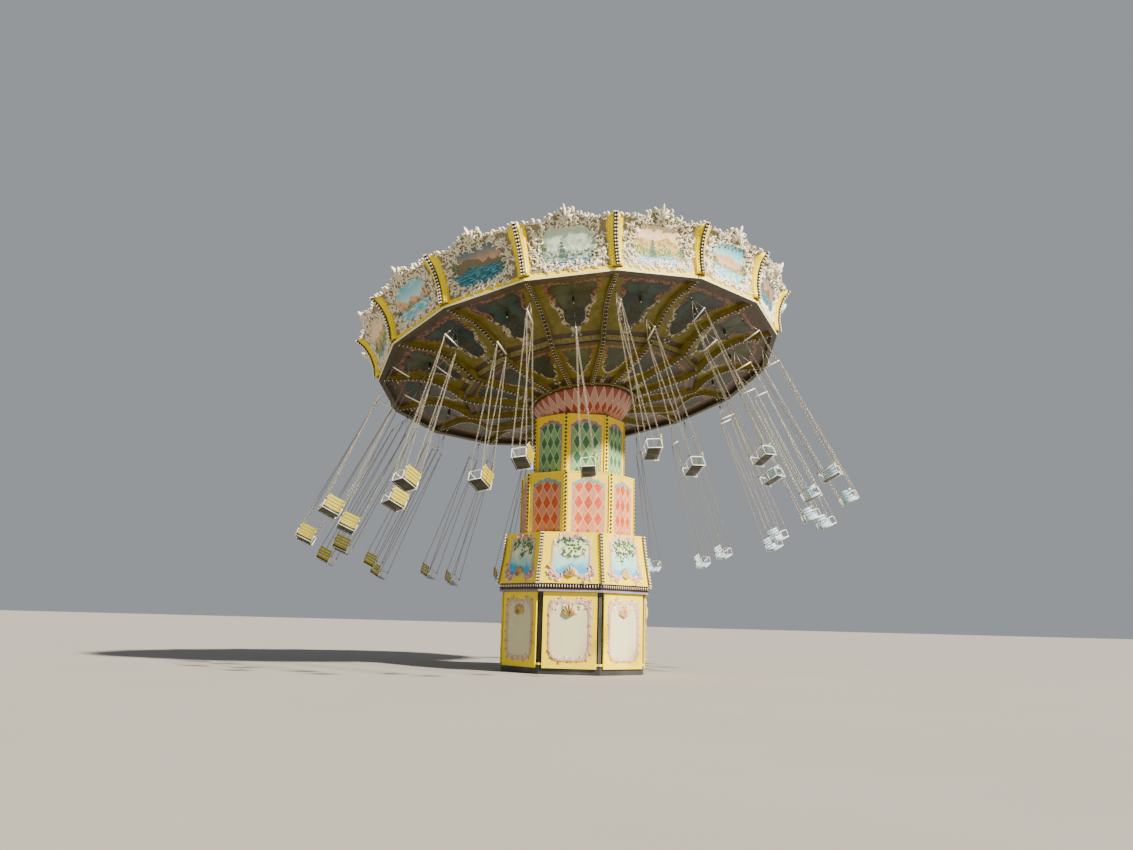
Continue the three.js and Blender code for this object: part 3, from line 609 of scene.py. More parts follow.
def boardBacking():
    # Yellow on faces that look away from the crown's middle and dark on the others, in every pose
    material, graph, shader = newMaterial("boardBacking", 0.5, 0, 0, 0.08)
    place = objectPlace(graph)
    normal = graph.add("ShaderNodeTexCoord").outputs["Normal"]  # in the object's own frame
    mapping = graph.add("ShaderNodeMapping", vector_type="TEXTURE")
    graph.feed(mapping.inputs["Vector"], place)
    mapping.inputs["Location"].default_value = crownFrame.to_translation()
    facing = graph.add("ShaderNodeVectorMath", operation="DOT_PRODUCT")
    graph.feed(facing.inputs[0], normal)
    graph.feed(facing.inputs[1], mapping.outputs[0])
    front = graph.step(facing.outputs["Value"], -0.2, 0.2)
    paint = graph.mixTones(front, ("3d3f3e", "f4d70e"))
    weathered(graph, shader, paint, 0.05, 0.18)
    return material


def roofMetal():
    material, graph, shader = newMaterial("roofMetal", 0.5, 0.3)
    place = objectPlace(graph)
    polar = graph.group("crownPolar", Position=place)
    # Two roof sheets to a sector
    sheet = graph.math("FRACT", graph.math("MULTIPLY", polar["Turn"], 2))
    seam = graph.math("ABSOLUTE", graph.math("SUBTRACT", sheet, 0.5))
    tone = graph.mixTones(graph.noise(place, 0.8, 4), ("8d9397", "a9aeb0"))
    paint = graph.mix(graph.step(seam, 0.012, 0.006), tone, tint("55595c"))
    weathered(graph, shader, paint, 0.2, 0.4)
    return material


def chainSteel():
    material, graph, shader = newMaterial("chainSteel", 0.45, 0.6)
    place = objectPlace(graph)
    tone = graph.mixTones(graph.noise(place, 20, 3), ("857f6d", "a8a28f"))
    weathered(graph, shader, tone, 0.1, 0.2, 0.0005)
    return material


def bulbGlass():
    material, graph, shader = newMaterial("bulbGlass", 0.15, 0, 0.5, 0.5)
    place = objectPlace(graph)
    tone = graph.mixTones(graph.noise(place, 3, 2), ("e0d6c2", "f2eadb"))
    graph.feed(shader.inputs["Base Color"], tone)
    shader.inputs["Emission Color"].default_value = tint("fff3d8")
    shader.inputs["Emission Strength"].default_value = 0.08
    return material


# Plain paints: material, colour, how faded, how dirty, then coat and metallic

paints = {
    "yellow": plainPaint("panelYellow", "f3da0e", 0.04, 0.12),
    "cream": plainPaint("panelCream", "d6d3a8", 0.05, 0.12),
    # The dark ground behind the board carving is painted shade between the pieces
    "paintedReliefShade": plainPaint("paintedReliefShade", "857d60", 0.05, 0.3),
    # The seat pan's underside is painted dark as painted shade
    "panShade": plainPaint("panUnderside", "34352a", 0.05, 0.25),
    "grey": plainPaint("ledgeGrey", "8c8086", 0.3, 0.3),
    "brown": plainPaint("bandBrown", "3c262e", 0.1, 0.3),
    "strip": plainPaint("lampStrip", "43372f", 0.05, 0.25),
    "tanStrip": plainPaint("skirtStrip", "a08a4c", 0.05, 0.25),
    "darkStrip": plainPaint("beamStrip", "1f1612", 0.1, 0.3),
    "steel": plainPaint("frameSteel", "3b3d40", 0.2, 0.35, 0.0, 0.5),
    "mast": plainPaint("mastSteel", "6f7478", 0.2, 0.35, 0.0, 0.5),
    "deepGreen": plainPaint("bellRimGreen", "2f4a35", 0.2, 0.2),
    "rim": rimPaint(),
    "socket": plainPaint("lampSocket", "1d1a1a", 0.1, 0.2),
    # These carved paints darken their hollows as painted shade
    "relief": hollowShadePaint("carvedCream", "fbf4dc", "8d836a", 30),
    "mauve": plainPaint("frameMauve", "cfa9a2", 0.1, 0.2),
    "frameGround": hollowShadePaint("frameGround", "d8b49c", "8a6a58", 16),
    "pinkRelief": hollowShadePaint("carvedPink", "d9a398", "7c5a50", 26),
    "goldRelief": hollowShadePaint("carvedGold", "e0c07c", "80602f", 26),
    "lower": latticePaint("lowerLattice", lowerLattice),
    "upper": latticePaint("upperLattice", upperLattice),
    "bell": bellPaint(),
    "landscape": picturePaint("boardPicture", "landscape"),
    "foliage": picturePaint("skirtPicture", "foliageSky"),
    "ceilingOuter": ceilingPaint("ceilingOuterPaint", outerCeilingLook),
    "ceilingInner": ceilingPaint("ceilingInnerPaint", innerCeilingLook),
    "beam": beamInPaintedShade(),
    "riser": riserPaint(),
    "board": boardBacking(),
    "roof": roofMetal(),
    "chain": chainSteel(),
    "bulb": bulbGlass(),
    "seatYellow": plainPaint("seatYellow", "a89a00", 0.02, 0.12, 0.05),
    "seatBlue": plainPaint("seatBlue", "a5cbdc", 0.15, 0.15, 0.3),
    "tube": plainPaint("tubeWhite", "e6e4dc", 0.15, 0.2, 0.3),
}
print("materials made:", len(paints))

nodePaints = {
    "ground_frame": "steel", "base_frame": "steel", "base_panels": "yellow", "base_ledge": "grey",
    "skirt": "yellow", "skirt_top": "yellow", "pedestal": "mast", "mast_foot": "mast",
    "mast_middle": "mast", "lower_shaft": "yellow", "lower_shaft_top": "yellow", "mast_head": "mast",
    "upper_shaft": "yellow", "tilt_head": "steel", "crown_hub": "steel", "crown_spokes": "steel",
    "crown_roof": "roof", "bell": "bell", "bell_rim": "deepGreen", "ceiling_beams": "beam",
    "ceiling_outer": "ceilingOuter", "ceiling_riser": "riser", "ceiling_inner": "ceilingInner",
    "crown_rim": "rim",
}
for name, node in frame["nodes"].items():
    paint = nodePaints.get(name, "board" if name.startswith("boards") else "seatYellow")
    node.data.materials.clear()
    node.data.materials.append(paints[paint])


# Mesh helpers


class Shape:
    def __init__(self):
        self.points, self.faces, self.uvs, self.slots, self.seeds = [], [], [], [], []

    def add(self, points, faces, uvs=None, slot=0, seed=0.0):
        start = len(self.points)
        self.points += [tuple(p) for p in points]
        for face in faces:
            self.faces.append([start + i for i in face])
            self.uvs.append([uvs[i] if uvs else (0, 0) for i in face])
            self.slots.append(slot)
            self.seeds.append(seed)

    def mesh(self, name, paintNames=(), smooth=False):
        mesh = bpy.data.meshes.new(name)
        mesh.from_pydata(self.points, [], self.faces)
        layer = mesh.uv_layers.new(name="UVMap")
        flat = [value for uv in self.uvs for pair in uv for value in pair]
        layer.data.foreach_set("uv", flat)
        seeds = mesh.attributes.new("seed", "FLOAT", "FACE")
        seeds.data.foreach_set("value", self.seeds)
        mesh.polygons.foreach_set("material_index", self.slots)
        mesh.polygons.foreach_set("use_smooth", [smooth] * len(self.faces))
        for paint in paintNames:
            mesh.materials.append(paints[paint])
        mesh.update()
        return mesh


def outwardFaces(mesh):
    work = bmesh.new()
    work.from_mesh(mesh)
    bmesh.ops.remove_doubles(work, verts=work.verts, dist=1e-5)
    bmesh.ops.recalc_face_normals(work, faces=work.faces)
    work.to_mesh(mesh)
    work.free()


def place(name, mesh, body, slot, matrix=None, replaced=()):
    if matrix is not None:
        mesh.transform(matrix)
    thing = bpy.data.objects.new(name, mesh)
    bpy.context.scene.collection.objects.link(thing)
    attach(thing, body)
    if replaced:
        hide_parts(*replaced)


def placeSolid(name, shape, paintNames, body, slot, matrix=None, smooth=False, replaced=()):
    mesh = shape.mesh(name, paintNames, smooth)
    outwardFaces(mesh)
    place(name, mesh, body, slot, matrix, replaced)


def joinedMesh(name, meshes):
    work = bmesh.new()
    materials = []
    for mesh in meshes:
        shift = len(materials)
        before = len(work.faces)
        work.from_mesh(mesh)
        work.faces.ensure_lookup_table()
        for face in work.faces[before:]:
            face.material_index += shift
        materials += list(mesh.materials)
    mesh = bpy.data.meshes.new(name)
    work.to_mesh(mesh)
    work.free()
    for material in materials:
        mesh.materials.append(material)
    return mesh


def ringFaces(count, wide, closed=False):
    # The sides of a bar through count sections of wide points each
    faces = []
    for i in range(count if closed else count - 1):
        here, ahead = i * wide, (i + 1) % count * wide
        for k in range(wide):
            other = (k + 1) % wide
            faces.append([here + k, here + other, ahead + other, ahead + k])
    return faces


def sweptBar(shape, sections, slot=0, closed=False):
    # A bar through sections of equally many points, its ends shut unless it runs round
    count, wide = len(sections), len(sections[0])
    faces = ringFaces(count, wide, closed)
    if not closed:
        faces.append(list(range(wide))[::-1])
        faces.append([(count - 1) * wide + k for k in range(wide)])
    shape.add([p for section in sections for p in section], faces, slot=slot)


def solidStrip(shape, left, right, up, thickness):
    # A flat bar between two rails of points, standing on the side that up points to
    sections = []
    for p, q, u in zip(left, right, up):
        lift = u.normalized() * thickness
        sections.append([p, q, q + lift, p + lift])
    sweptBar(shape, sections)


def tube(shape, path, radius, sides, slot=0, closed=False):
    # A round bar; radius is one number or one for each point of the path
    path = [Vector(p) for p in path]
    count = len(path)
    rings = []
    side = None
    for i, here in enumerate(path):
        before = path[i - 1] if i or closed else here
        after = path[(i + 1) % count] if i + 1 < count or closed else here
        along = (after - before).normalized()
        if side is None:
            side = along.orthogonal().normalized()
        side = (side - along * side.dot(along)).normalized()
        other = along.cross(side)
        size = radius[i] if isinstance(radius, list) else radius
        rings.append([
            here + (side * math.cos(turn) + other * math.sin(turn)) * size
            for turn in (2 * math.pi * k / sides for k in range(sides))
        ])
    sweptBar(shape, rings, slot, closed)


def quadStrip(shape, rows, slot=0, uvRows=None, seed=0.0, flip=False):
    # A sheet through rows of points, each row as long as the next
    width = len(rows[0])
    faces = []
    for i in range(len(rows) - 1):
        for k in range(width - 1):
            face = [i * width + k, i * width + k + 1, (i + 1) * width + k + 1, (i + 1) * width + k]
            faces.append(face[::-1] if flip else face)
    uvs = [uv for row in uvRows for uv in row] if uvRows else None
    shape.add([p for row in rows for p in row], faces, uvs, slot, seed)


def fanRows(outline, middle, steps, rings):
    # Rings of (across, height) from the middle out to an outline
    rows = []
    for ringIndex in range(rings + 1):
        share = ringIndex / rings
        edge = [outline(2 * math.pi * i / steps) for i in range(steps + 1)]
        rows.append([(x * share, middle + (z - middle) * share) for x, z in edge])
    return rows


def squarish(value, power):  # a sine or cosine that rounds a rectangle's corner
    return math.copysign(abs(value) ** power, value)


def upwards(height):
    return Vector((0, 0, height))


# Geometry Nodes trees


def geometryTree(name, extra):
    common = {
        "Piece": ("NodeSocketObject", None),
        "Size": ("NodeSocketFloat", 1.0),
        "Size Jitter": ("NodeSocketFloat", 0.0),
        "Turn Jitter": ("NodeSocketFloat", 0.0),
        "Turn Every Other": ("NodeSocketFloat", 0.0),
        "Seed": ("NodeSocketInt", 1),
        "Material": ("NodeSocketMaterial", None),
    }
    tree = bpy.data.node_groups.new(name, "GeometryNodeTree")
    for way in ("INPUT", "OUTPUT"):
        tree.interface.new_socket(name="Geometry", in_out=way, socket_type="NodeSocketGeometry")
    for label, (kind, value) in {**common, extra: ("NodeSocketFloat", 0.1)}.items():
        socket = tree.interface.new_socket(name=label, in_out="INPUT", socket_type=kind)
        if value is not None:
            socket.default_value = value
    graph = Graph(tree)
    return tree, graph, graph.add("NodeGroupInput").outputs, graph.add("NodeGroupOutput").inputs


def evenPoints(graph, given):
    # Points at even steps along the given edges
    curve = graph.add("GeometryNodeMeshToCurve")
    graph.feed(curve.inputs[0], given["Geometry"])
    resample = graph.add("GeometryNodeResampleCurve", mode="LENGTH")
    graph.feed(resample.inputs["Curve"], curve.outputs[0])
    graph.feed(resample.inputs["Length"], given["Pitch"])
    return resample.outputs[0]


def randomBetween(graph, low, high, seed):
    node = graph.add("FunctionNodeRandomValue", data_type="FLOAT")
    graph.feed(node.inputs[2], low)
    graph.feed(node.inputs[3], high)
    graph.feed(node.inputs["Seed"], seed)
    return node.outputs[1]


def turnEveryOther(graph, given):
    index = graph.add("GeometryNodeInputIndex").outputs[0]
    return graph.math("MULTIPLY", graph.math("MODULO", index, 2), given["Turn Every Other"])


def turnedBy(graph, rotation, angles):
    # The rotation and then a turn about the piece's own axes
    euler = graph.add("FunctionNodeEulerToRotation")
    graph.feed(euler.inputs[0], angles)
    rotate = graph.add("FunctionNodeRotateRotation", rotation_space="LOCAL")
    graph.feed(rotate.inputs[0], rotation)
    graph.feed(rotate.inputs[1], euler.outputs[0])
    return rotate.outputs[0]


def setPieces(graph, given, result, points, rotation, size=1.0):
    # A painted copy of the piece at every point
    info = graph.add("GeometryNodeObjectInfo")
    graph.feed(info.inputs["Object"], given["Piece"])
    instances = graph.add("GeometryNodeInstanceOnPoints")
    graph.feed(instances.inputs["Points"], points)
    graph.feed(instances.inputs["Instance"], info.outputs["Geometry"])
    graph.feed(instances.inputs["Rotation"], rotation)
    graph.feed(instances.inputs["Scale"], graph.join(size, size, size))
    realize = graph.add("GeometryNodeRealizeInstances")
    graph.feed(realize.inputs[0], instances.outputs[0])
    paint = graph.add("GeometryNodeSetMaterial")
    graph.feed(paint.inputs["Geometry"], realize.outputs[0])
    graph.feed(paint.inputs["Material"], given["Material"])
    graph.feed(result["Geometry"], paint.outputs[0])


def setVariedPieces(graph, given, result, points, rotation):
    least = graph.math("MULTIPLY", given["Turn Jitter"], -1)
    spin = randomBetween(graph, least, given["Turn Jitter"], given["Seed"])
    spin = graph.math("ADD", spin, turnEveryOther(graph, given))
    smallest = graph.math("SUBTRACT", given["Size"], given["Size Jitter"])
    largest = graph.math("ADD", given["Size"], given["Size Jitter"])
    size = randomBetween(graph, smallest, largest, graph.math("ADD", given["Seed"], 11))
    turned = turnedBy(graph, rotation, graph.join(0.0, 0.0, spin))
    setPieces(graph, given, result, points, turned, size)


def makeRowTree():
    # Pieces along edges, standing the way that the edges' facing attribute points
    tree, graph, given, result = geometryTree("rowOfPieces", "Pitch")
    points = evenPoints(graph, given)
    facing = graph.add("GeometryNodeInputNamedAttribute", data_type="FLOAT_VECTOR")
    facing.inputs["Name"].default_value = "facing"
    stand = graph.add("FunctionNodeAlignRotationToVector", axis="Z")
    graph.feed(stand.inputs["Vector"], facing.outputs[0])
    along = graph.add("FunctionNodeAlignRotationToVector", axis="X", pivot_axis="Z")
    graph.feed(along.inputs["Rotation"], stand.outputs[0])
    graph.feed(along.inputs["Vector"], graph.add("GeometryNodeInputTangent").outputs[0])
    setVariedPieces(graph, given, result, points, along.outputs[0])
    return tree


def makeScatterTree():
    # Pieces strewn over faces at a least distance
    tree, graph, given, result = geometryTree("scatteredPieces", "Distance")
    points = graph.add("GeometryNodeDistributePointsOnFaces", distribute_method="POISSON")
    graph.feed(points.inputs["Mesh"], given["Geometry"])
    graph.feed(points.inputs["Distance Min"], given["Distance"])
    points.inputs["Density Max"].default_value = 400
    graph.feed(points.inputs["Seed"], given["Seed"])
    setVariedPieces(graph, given, result, points.outputs["Points"], points.outputs["Rotation"])
    return tree


def makeLinkTree():
    # Links along edges, each turned a quarter from the last
    tree, graph, given, result = geometryTree("chainOfLinks", "Pitch")
    points = evenPoints(graph, given)
    along = graph.add("FunctionNodeAlignRotationToVector", axis="X")
    graph.feed(along.inputs["Vector"], graph.add("GeometryNodeInputTangent").outputs[0])
    roll = graph.join(turnEveryOther(graph, given), 0.0, 0.0)
    setPieces(graph, given, result, points, turnedBy(graph, along.outputs[0], roll))
    return tree


rowTree = makeRowTree()
scatterTree = makeScatterTree()
linkTree = makeLinkTree()


def baked(name, source, tree, settings, smooth=True):
    # The plain mesh that a tree makes of a source mesh
    carrier = bpy.data.objects.new(name, source)
    bpy.context.scene.collection.objects.link(carrier)
    modifier = carrier.modifiers.new("nodes", "NODES")
    modifier.node_group = tree
    for item in tree.interface.items_tree:
        if item.in_out == "INPUT" and item.name in settings:
            modifier[item.identifier] = settings[item.name]
    graph = bpy.context.evaluated_depsgraph_get()
    mesh = bpy.data.meshes.new_from_object(carrier.evaluated_get(graph))
    bpy.data.objects.remove(carrier)
    mesh.name = name
    mesh.polygons.foreach_set("use_smooth", [smooth] * len(mesh.polygons))
    return mesh


def pattern(shape, name, smooth=True):
    # An object for a tree to repeat, taken away at the end
    thing = bpy.data.objects.new(name, shape.mesh(name, smooth=smooth))
    bpy.context.scene.collection.objects.link(thing)
    return thing


def solidPattern(shape, name):
    thing = pattern(shape, name)
    outwardFaces(thing.data)
    return thing


def lines(name, runs):
    # A mesh of edges; each run is a list of (point, facing)
    mesh = bpy.data.meshes.new(name)
    points = [p for run in runs for p, _ in run]
    edges = []
    start = 0
    for run in runs:
        edges += [(start + i, start + i + 1) for i in range(len(run) - 1)]
        start += len(run)
    mesh.from_pydata([tuple(p) for p in points], edges, [])
    facing = mesh.attributes.new("facing", "FLOAT_VECTOR", "POINT")
    facing.data.foreach_set("vector", [c for run in runs for _, f in run for c in f])
    return mesh


# Lamps


lampShape = {
    "globe": 0.026,
    "sides": 7,
    "rings": [(0.6, 0.45), (1.0, 1.25), (0.75, 2.0)],  # radius and height in globe radii
    "ends": (0.3, 2.4),
    "socket": 0.03,
    "candle": 0.014,
    "candleRings": [(0.006, 0.4), (0.025, 0.8), (0.06, 1.0), (0.085, 0.7), (0.1, 0.3)],
}


def makeGlobe():
    size, sides, rings = lampShape["globe"], lampShape["sides"], lampShape["rings"]
    low, high = lampShape["ends"]
    points = [(0, 0, low * size)]
    for width, height in rings:
        for k in range(sides):
            turn = 2 * math.pi * k / sides
            radius = width * size
            points.append((radius * math.cos(turn), radius * math.sin(turn), height * size))
    points.append((0, 0, high * size))
    faces = [[0, 1 + (k + 1) % sides, 1 + k] for k in range(sides)]
    faces += [[1 + i for i in face] for face in ringFaces(len(rings), sides)]
    base = 1 + (len(rings) - 1) * sides
    faces += [[base + k, base + (k + 1) % sides, len(points) - 1] for k in range(sides)]
    shape = Shape()
    shape.add(points, faces)
    return pattern(shape, "globePattern")


def makeSocket():
    shape = Shape()
    size = lampShape["socket"]
    tube(shape, [(0, 0, 0.001), (0, 0, 0.018)], [size, size * 0.86], 8)
    return pattern(shape, "socketPattern", smooth=False)


def makeCandle():
    # A tall narrow lamp that stands along its row's facing
    shape = Shape()
    rings = lampShape["candleRings"]
    tube(shape, [(0, 0, h) for h, _ in rings], [lampShape["candle"] * w for _, w in rings], 6)
    return pattern(shape, "candlePattern")


globePattern = makeGlobe()
socketPattern = makeSocket()
candlePattern = makeCandle()


def lampRows(name, runs, look, body, slot, matrix=None, bulb=globePattern):
    size = look["lampSize"]
    kinds = (
        ("globes", bulb, "bulb", size),
        ("sockets", socketPattern, "socket", look.get("socketSize", size)),
    )
    for kind, piece, paint, scale in kinds:
        settings = {"Piece": piece, "Size": scale, "Pitch": look["pitch"]}
        settings["Material"] = paints[paint]
        mesh = baked(f"{name}_{kind}", lines(name, runs), rowTree, settings, kind == "globes")
        place(f"{name}_{kind}", mesh, body, slot, matrix)


# Carved relief


def curlPattern(name, turns, length, width, height, twist):
    # One rocaille leaf: a ridge that tapers along a spiral
    steps = 7
    points = []
    x = y = 0.0
    heading = 0.0
    for i in range(steps):
        share = i / (steps - 1)
        swell = math.sin(math.pi * min(1, share * 0.92 + 0.1)) ** 0.7
        half = width * swell * 0.5 + 0.002
        rise = height * (0.35 + 0.65 * swell)
        normal = (-math.sin(heading), math.cos(heading))
        lean = twist * share
        points += [
            (x + normal[0] * half, y + normal[1] * half, -0.006),
            (x + normal[0] * half * 0.25, y + normal[1] * half * 0.25, rise + lean),
            (x - normal[0] * half, y - normal[1] * half, -0.006),
        ]
        pace = length / steps
        x += math.cos(heading) * pace
        y += math.sin(heading) * pace
        heading += turns * 2 * math.pi / steps * (0.4 + 1.2 * share)
    last = len(points) - 3
    shape = Shape()
    shape.add(points, ringFaces(steps, 3) + [[0, 2, 1], [last, last + 1, last + 2]])
    return solidPattern(shape, name)


def shellPattern(name, lobes, size, depth):
    # A fan of rounded ribs standing up from its foot
    shape = Shape()
    for i in range(lobes):
        turn = math.radians(-62 + 124 * i / (lobes - 1))
        reach = size * (1 - 0.25 * abs(turn))
        along = (math.cos(turn), math.sin(turn))
        across = (-along[1], along[0])
        points = [(0, 0, 0.0), (0, 0, depth)]
        for share, wide, rise in ((0.55, 0.1, 1.0), (0.86, 0.13, 0.85)):
            for side in (-1, 0, 1):
                x = along[0] * reach * share + across[0] * wide * size * side
                y = along[1] * reach * share + across[1] * wide * size * side
                points.append((x, y, -0.004 if side else depth * rise))
        points.append((along[0] * reach, along[1] * reach, 0.0))
        faces = [
            [0, 2, 3, 1], [1, 3, 4, 0], [2, 5, 6, 3], [3, 6, 7, 4], [5, 8, 6], [6, 8, 7],
            [0, 4, 2], [2, 4, 7, 5], [5, 7, 8],
        ]
        shape.add(points, faces)
    return solidPattern(shape, name)


plumeLeaves = [  # lean in degrees, reach, half width
    (-58, 0.5, 0.1), (-30, 0.74, 0.11), (0, 1.0, 0.13), (30, 0.74, 0.11), (58, 0.5, 0.1),
]
plumeSections = [  # share of the reach, share of the half width, share of the depth
    (0.0, 0.35, 0.5), (0.3, 0.8, 1.0), (0.6, 1.0, 1.0), (0.85, 0.5, 0.8),
]


def plumePattern(name, size, depth):
    # A crest of pointed leaves, the middle one tallest
    shape = Shape()
    for lean, reach, wide in plumeLeaves:
        turn = math.radians(lean)
        along = (math.cos(turn), math.sin(turn))
        across = (-along[1], along[0])
        points = []
        for share, half, rise in plumeSections:
            bend = 0.12 * size * math.sin(turn) * share ** 2
            for side in (-1, 0, 1):
                x = along[0] * reach * size * share + across[0] * wide * size * half * side
                y = along[1] * reach * size * share + across[1] * wide * size * half * side + bend
                points.append((x, y, -0.01 if side else depth * rise))
        tipY = along[1] * reach * size + 0.12 * size * math.sin(turn)
        points.append((along[0] * reach * size, tipY, 0.02))
        shape.add(points, ringFaces(4, 3) + [[0, 2, 1], [9, 10, 12], [10, 11, 12], [11, 9, 12]])
    return solidPattern(shape, name)


curls = {
    "leaf": curlPattern(
        "leafPattern", turns=0.75, length=0.31, width=0.082, height=0.055, twist=0.012
    ),
    "scroll": curlPattern(
        "scrollPattern", turns=0.85, length=0.34, width=0.065, height=0.05, twist=0.0
    ),
    "shell": shellPattern("shellPattern", lobes=7, size=0.34, depth=0.07),
    "plume": plumePattern("plumePattern", size=0.4, depth=0.08),
}


# Boards round the crown


picture = {
    "halfWidth": 0.8, "low": 0.36, "high": 1.38, "roundness": 0.62, "proud": 0.016,
    "sideWave": 0.06, "topWave": 0.05,
}
pictureMiddle = (picture["low"] + picture["high"]) / 2
cornerBand = {"low": 0.13, "rise": 1.37, "half": 0.17, "widening": 0.07}
groundField = {
    "columns": 44, "levels": 14, "low": 0.2, "wave": 0.014, "crestInset": 0.3,
    "underCrest": 0.015, "sideInset": 0.03, "sideWave": 0.012, "proud": 0.003,
}
carvedField = {"low": 0.22, "high": 1.5, "roundness": 0.35, "sideInset": 0.09, "underCrest": 0.06}
carving = {
    "fill": {
        "Piece": "leaf", "Distance": 0.072, "Size": 0.84, "Size Jitter": 0.25, "Turn Jitter": 3.14,
    },
    "edge": {
        "Piece": "scroll", "Pitch": 0.17, "Size": 0.95, "Size Jitter": 0.15, "Turn Jitter": 0.45,
        "Turn Every Other": 3.14,
    },
    "crest": {
        "Piece": "leaf", "Pitch": 0.075, "Size": 0.72, "Size Jitter": 0.25, "Turn Jitter": 0.9,
        "Turn Every Other": 1.5,
    },
    "shell": {"Piece": "plume", "Pitch": 0.05, "Size": 1.15},
}


def boardRadius(height):
    radii, heights = zip(*crownSize["boardProfile"])
    return np.interp(height, heights, radii)


def boardPoint(sector, across, height, proud):
    # On a board's face: across in metres from its middle, height over the rim plane
    azimuth = crownAzimuth(sector + 0.5)
    radius = boardRadius(height)
    if height > boardTop:
        beyond = (height - boardTop) / crownSize["crestRise"] * crownSize["crestLean"]
        radius = crownSize["boardProfile"][-1][0] + beyond
    reach = (radius + proud) * math.cos(halfSector)
    return outward(azimuth) * reach + outward(azimuth + 90) * across + upwards(height)


def boardHalf(height):
    return boardRadius(height) * math.sin(halfSector)


def bandHalf(height):  # of the yellow band beside a corner, wider at its top
    share = (height - cornerBand["low"]) / cornerBand["rise"]
    return cornerBand["half"] + cornerBand["widening"] * max(0.0, share) ** 1.5


def crestHeight(share):  # share is the way across the board, from 0 to 1
    shares, stretches = zip(*crownSize["crest"])
    return boardTop * np.interp(share, shares, stretches)


def crestAt(across):
    return crestHeight(0.5 + 0.5 * across / (boardHalf(boardTop) - crownSize["crestInset"]))


def facingOut(sector, height):
    slope = Vector((boardRadius(height + 0.05) - boardRadius(height - 0.05), 0.1)).normalized()
    return outward(crownAzimuth(sector + 0.5)) * slope[1] - upwards(slope[0])


def pictureEdge(turn):
    # The outline of a board's picture, as (across, height)
    wide = picture["halfWidth"] * (1 + picture["sideWave"] * math.cos(4 * turn))
    tall = (picture["high"] - picture["low"]) / 2 * (1 + picture["topWave"] * math.cos(6 * turn))
    x = wide * squarish(math.cos(turn), picture["roundness"])
    z = tall * squarish(math.sin(turn), picture["roundness"])
    return x, pictureMiddle + z


def carvedEdge(turn):
    # The outline of the carved field between the corner bands
    high, middle = carvedField["high"], (carvedField["low"] + carvedField["high"]) / 2
    c, s = math.cos(turn), math.sin(turn)
    z = middle + (high - carvedField["low"]) / 2 * squarish(s, carvedField["roundness"])
    half = boardHalf(z) - bandHalf(z) - carvedField["sideInset"]
    x = half * squarish(c, carvedField["roundness"])
    if s > 0:
        top = crestAt(x) - carvedField["underCrest"]
        z = middle + (top - middle) * (z - middle) / (high - middle)
    return x, z


def boardGrounds():
    # A dark field behind the carving, with a wavy edge: painted shade between the carved pieces
    shape = Shape()
    field = groundField
    columns, levels, low = field["columns"], field["levels"], field["low"]
    crestReach = boardHalf(boardTop) - field["crestInset"]
    for sector in range(crownSize["sectors"]):
        rows = []
        for level in range(levels + 1):
            row = []
            sideWave = field["sideWave"] * math.sin(level * 2.3 + sector)
            for i in range(columns + 1):
                lean = 2 * i / columns - 1
                wave = field["wave"] * math.sin(i * 1.9 + sector)
                top = crestAt(lean * crestReach) - field["underCrest"]
                height = low + wave + (top - low - wave) * level / levels
                room = boardHalf(min(height, boardTop)) - bandHalf(height)
                reach = room - field["sideInset"] + sideWave
                row.append(boardPoint(sector, lean * reach, height, field["proud"]))
            rows.append(row)
        quadStrip(shape, rows)
    mesh = shape.mesh("board_grounds", ["paintedReliefShade"], True)
    place("board_grounds", mesh, "crown", "yellow_paint_panel", crownFrame)


def boardPictures():
    shape = Shape()
    span = picture["high"] - picture["low"]
    fan = fanRows(pictureEdge, pictureMiddle, 40, 6)
    uvRows = []
    for row in fan:
        uvRows.append([(x / picture["halfWidth"], (z - picture["low"]) / span) for x, z in row])
    for sector in range(crownSize["sectors"]):
        rows = [[boardPoint(sector, x, z, picture["proud"]) for x, z in row] for row in fan]
        quadStrip(shape, rows, 0, uvRows, seed=sector + 1.0, flip=True)
    mesh = shape.mesh("board_pictures", ["landscape"], True)
    place("board_pictures", mesh, "crown", "yellow_paint_panel", crownFrame)


def addCarvedZone(zone, sector):
    steps = 40
    rows = []
    for share in (0.0, 0.5, 1.0):
        row = []
        for i in range(steps + 1):
            turn = 2 * math.pi * i / steps
            x, z = pictureEdge(turn)
            farX, farZ = carvedEdge(turn)
            row.append(boardPoint(sector, x + (farX - x) * share, z + (farZ - z) * share, 0.004))
        rows.append(row)
    quadStrip(zone, rows, flip=True)


def edgeRun(sector, stretch):
    # Round the picture, that much larger than its outline
    run = []
    for i in range(49):
        x, z = pictureEdge(2 * math.pi * i / 48)
        x, z = x * stretch, pictureMiddle + (z - pictureMiddle) * stretch
        run.append((boardPoint(sector, x, z, 0.004), facingOut(sector, z)))
    return run


def crestRun(sector):
    run = []
    half = boardHalf(boardTop) - crownSize["crestInset"]
    for i in range(25):
        share = i / 24
        point = boardPoint(sector, (2 * share - 1) * half, crestHeight(share), -0.005)
        run.append((point - upwards(0.03), facingOut(sector, 1.4)))
    return run


def shellRun(sector):
    # One short upright edge: the plume stands along it
    foot = boardPoint(sector, 0, boardTop, 0.02)
    facing = facingOut(sector, 1.45)
    return [(foot, facing), (foot + upwards(0.02), facing)]


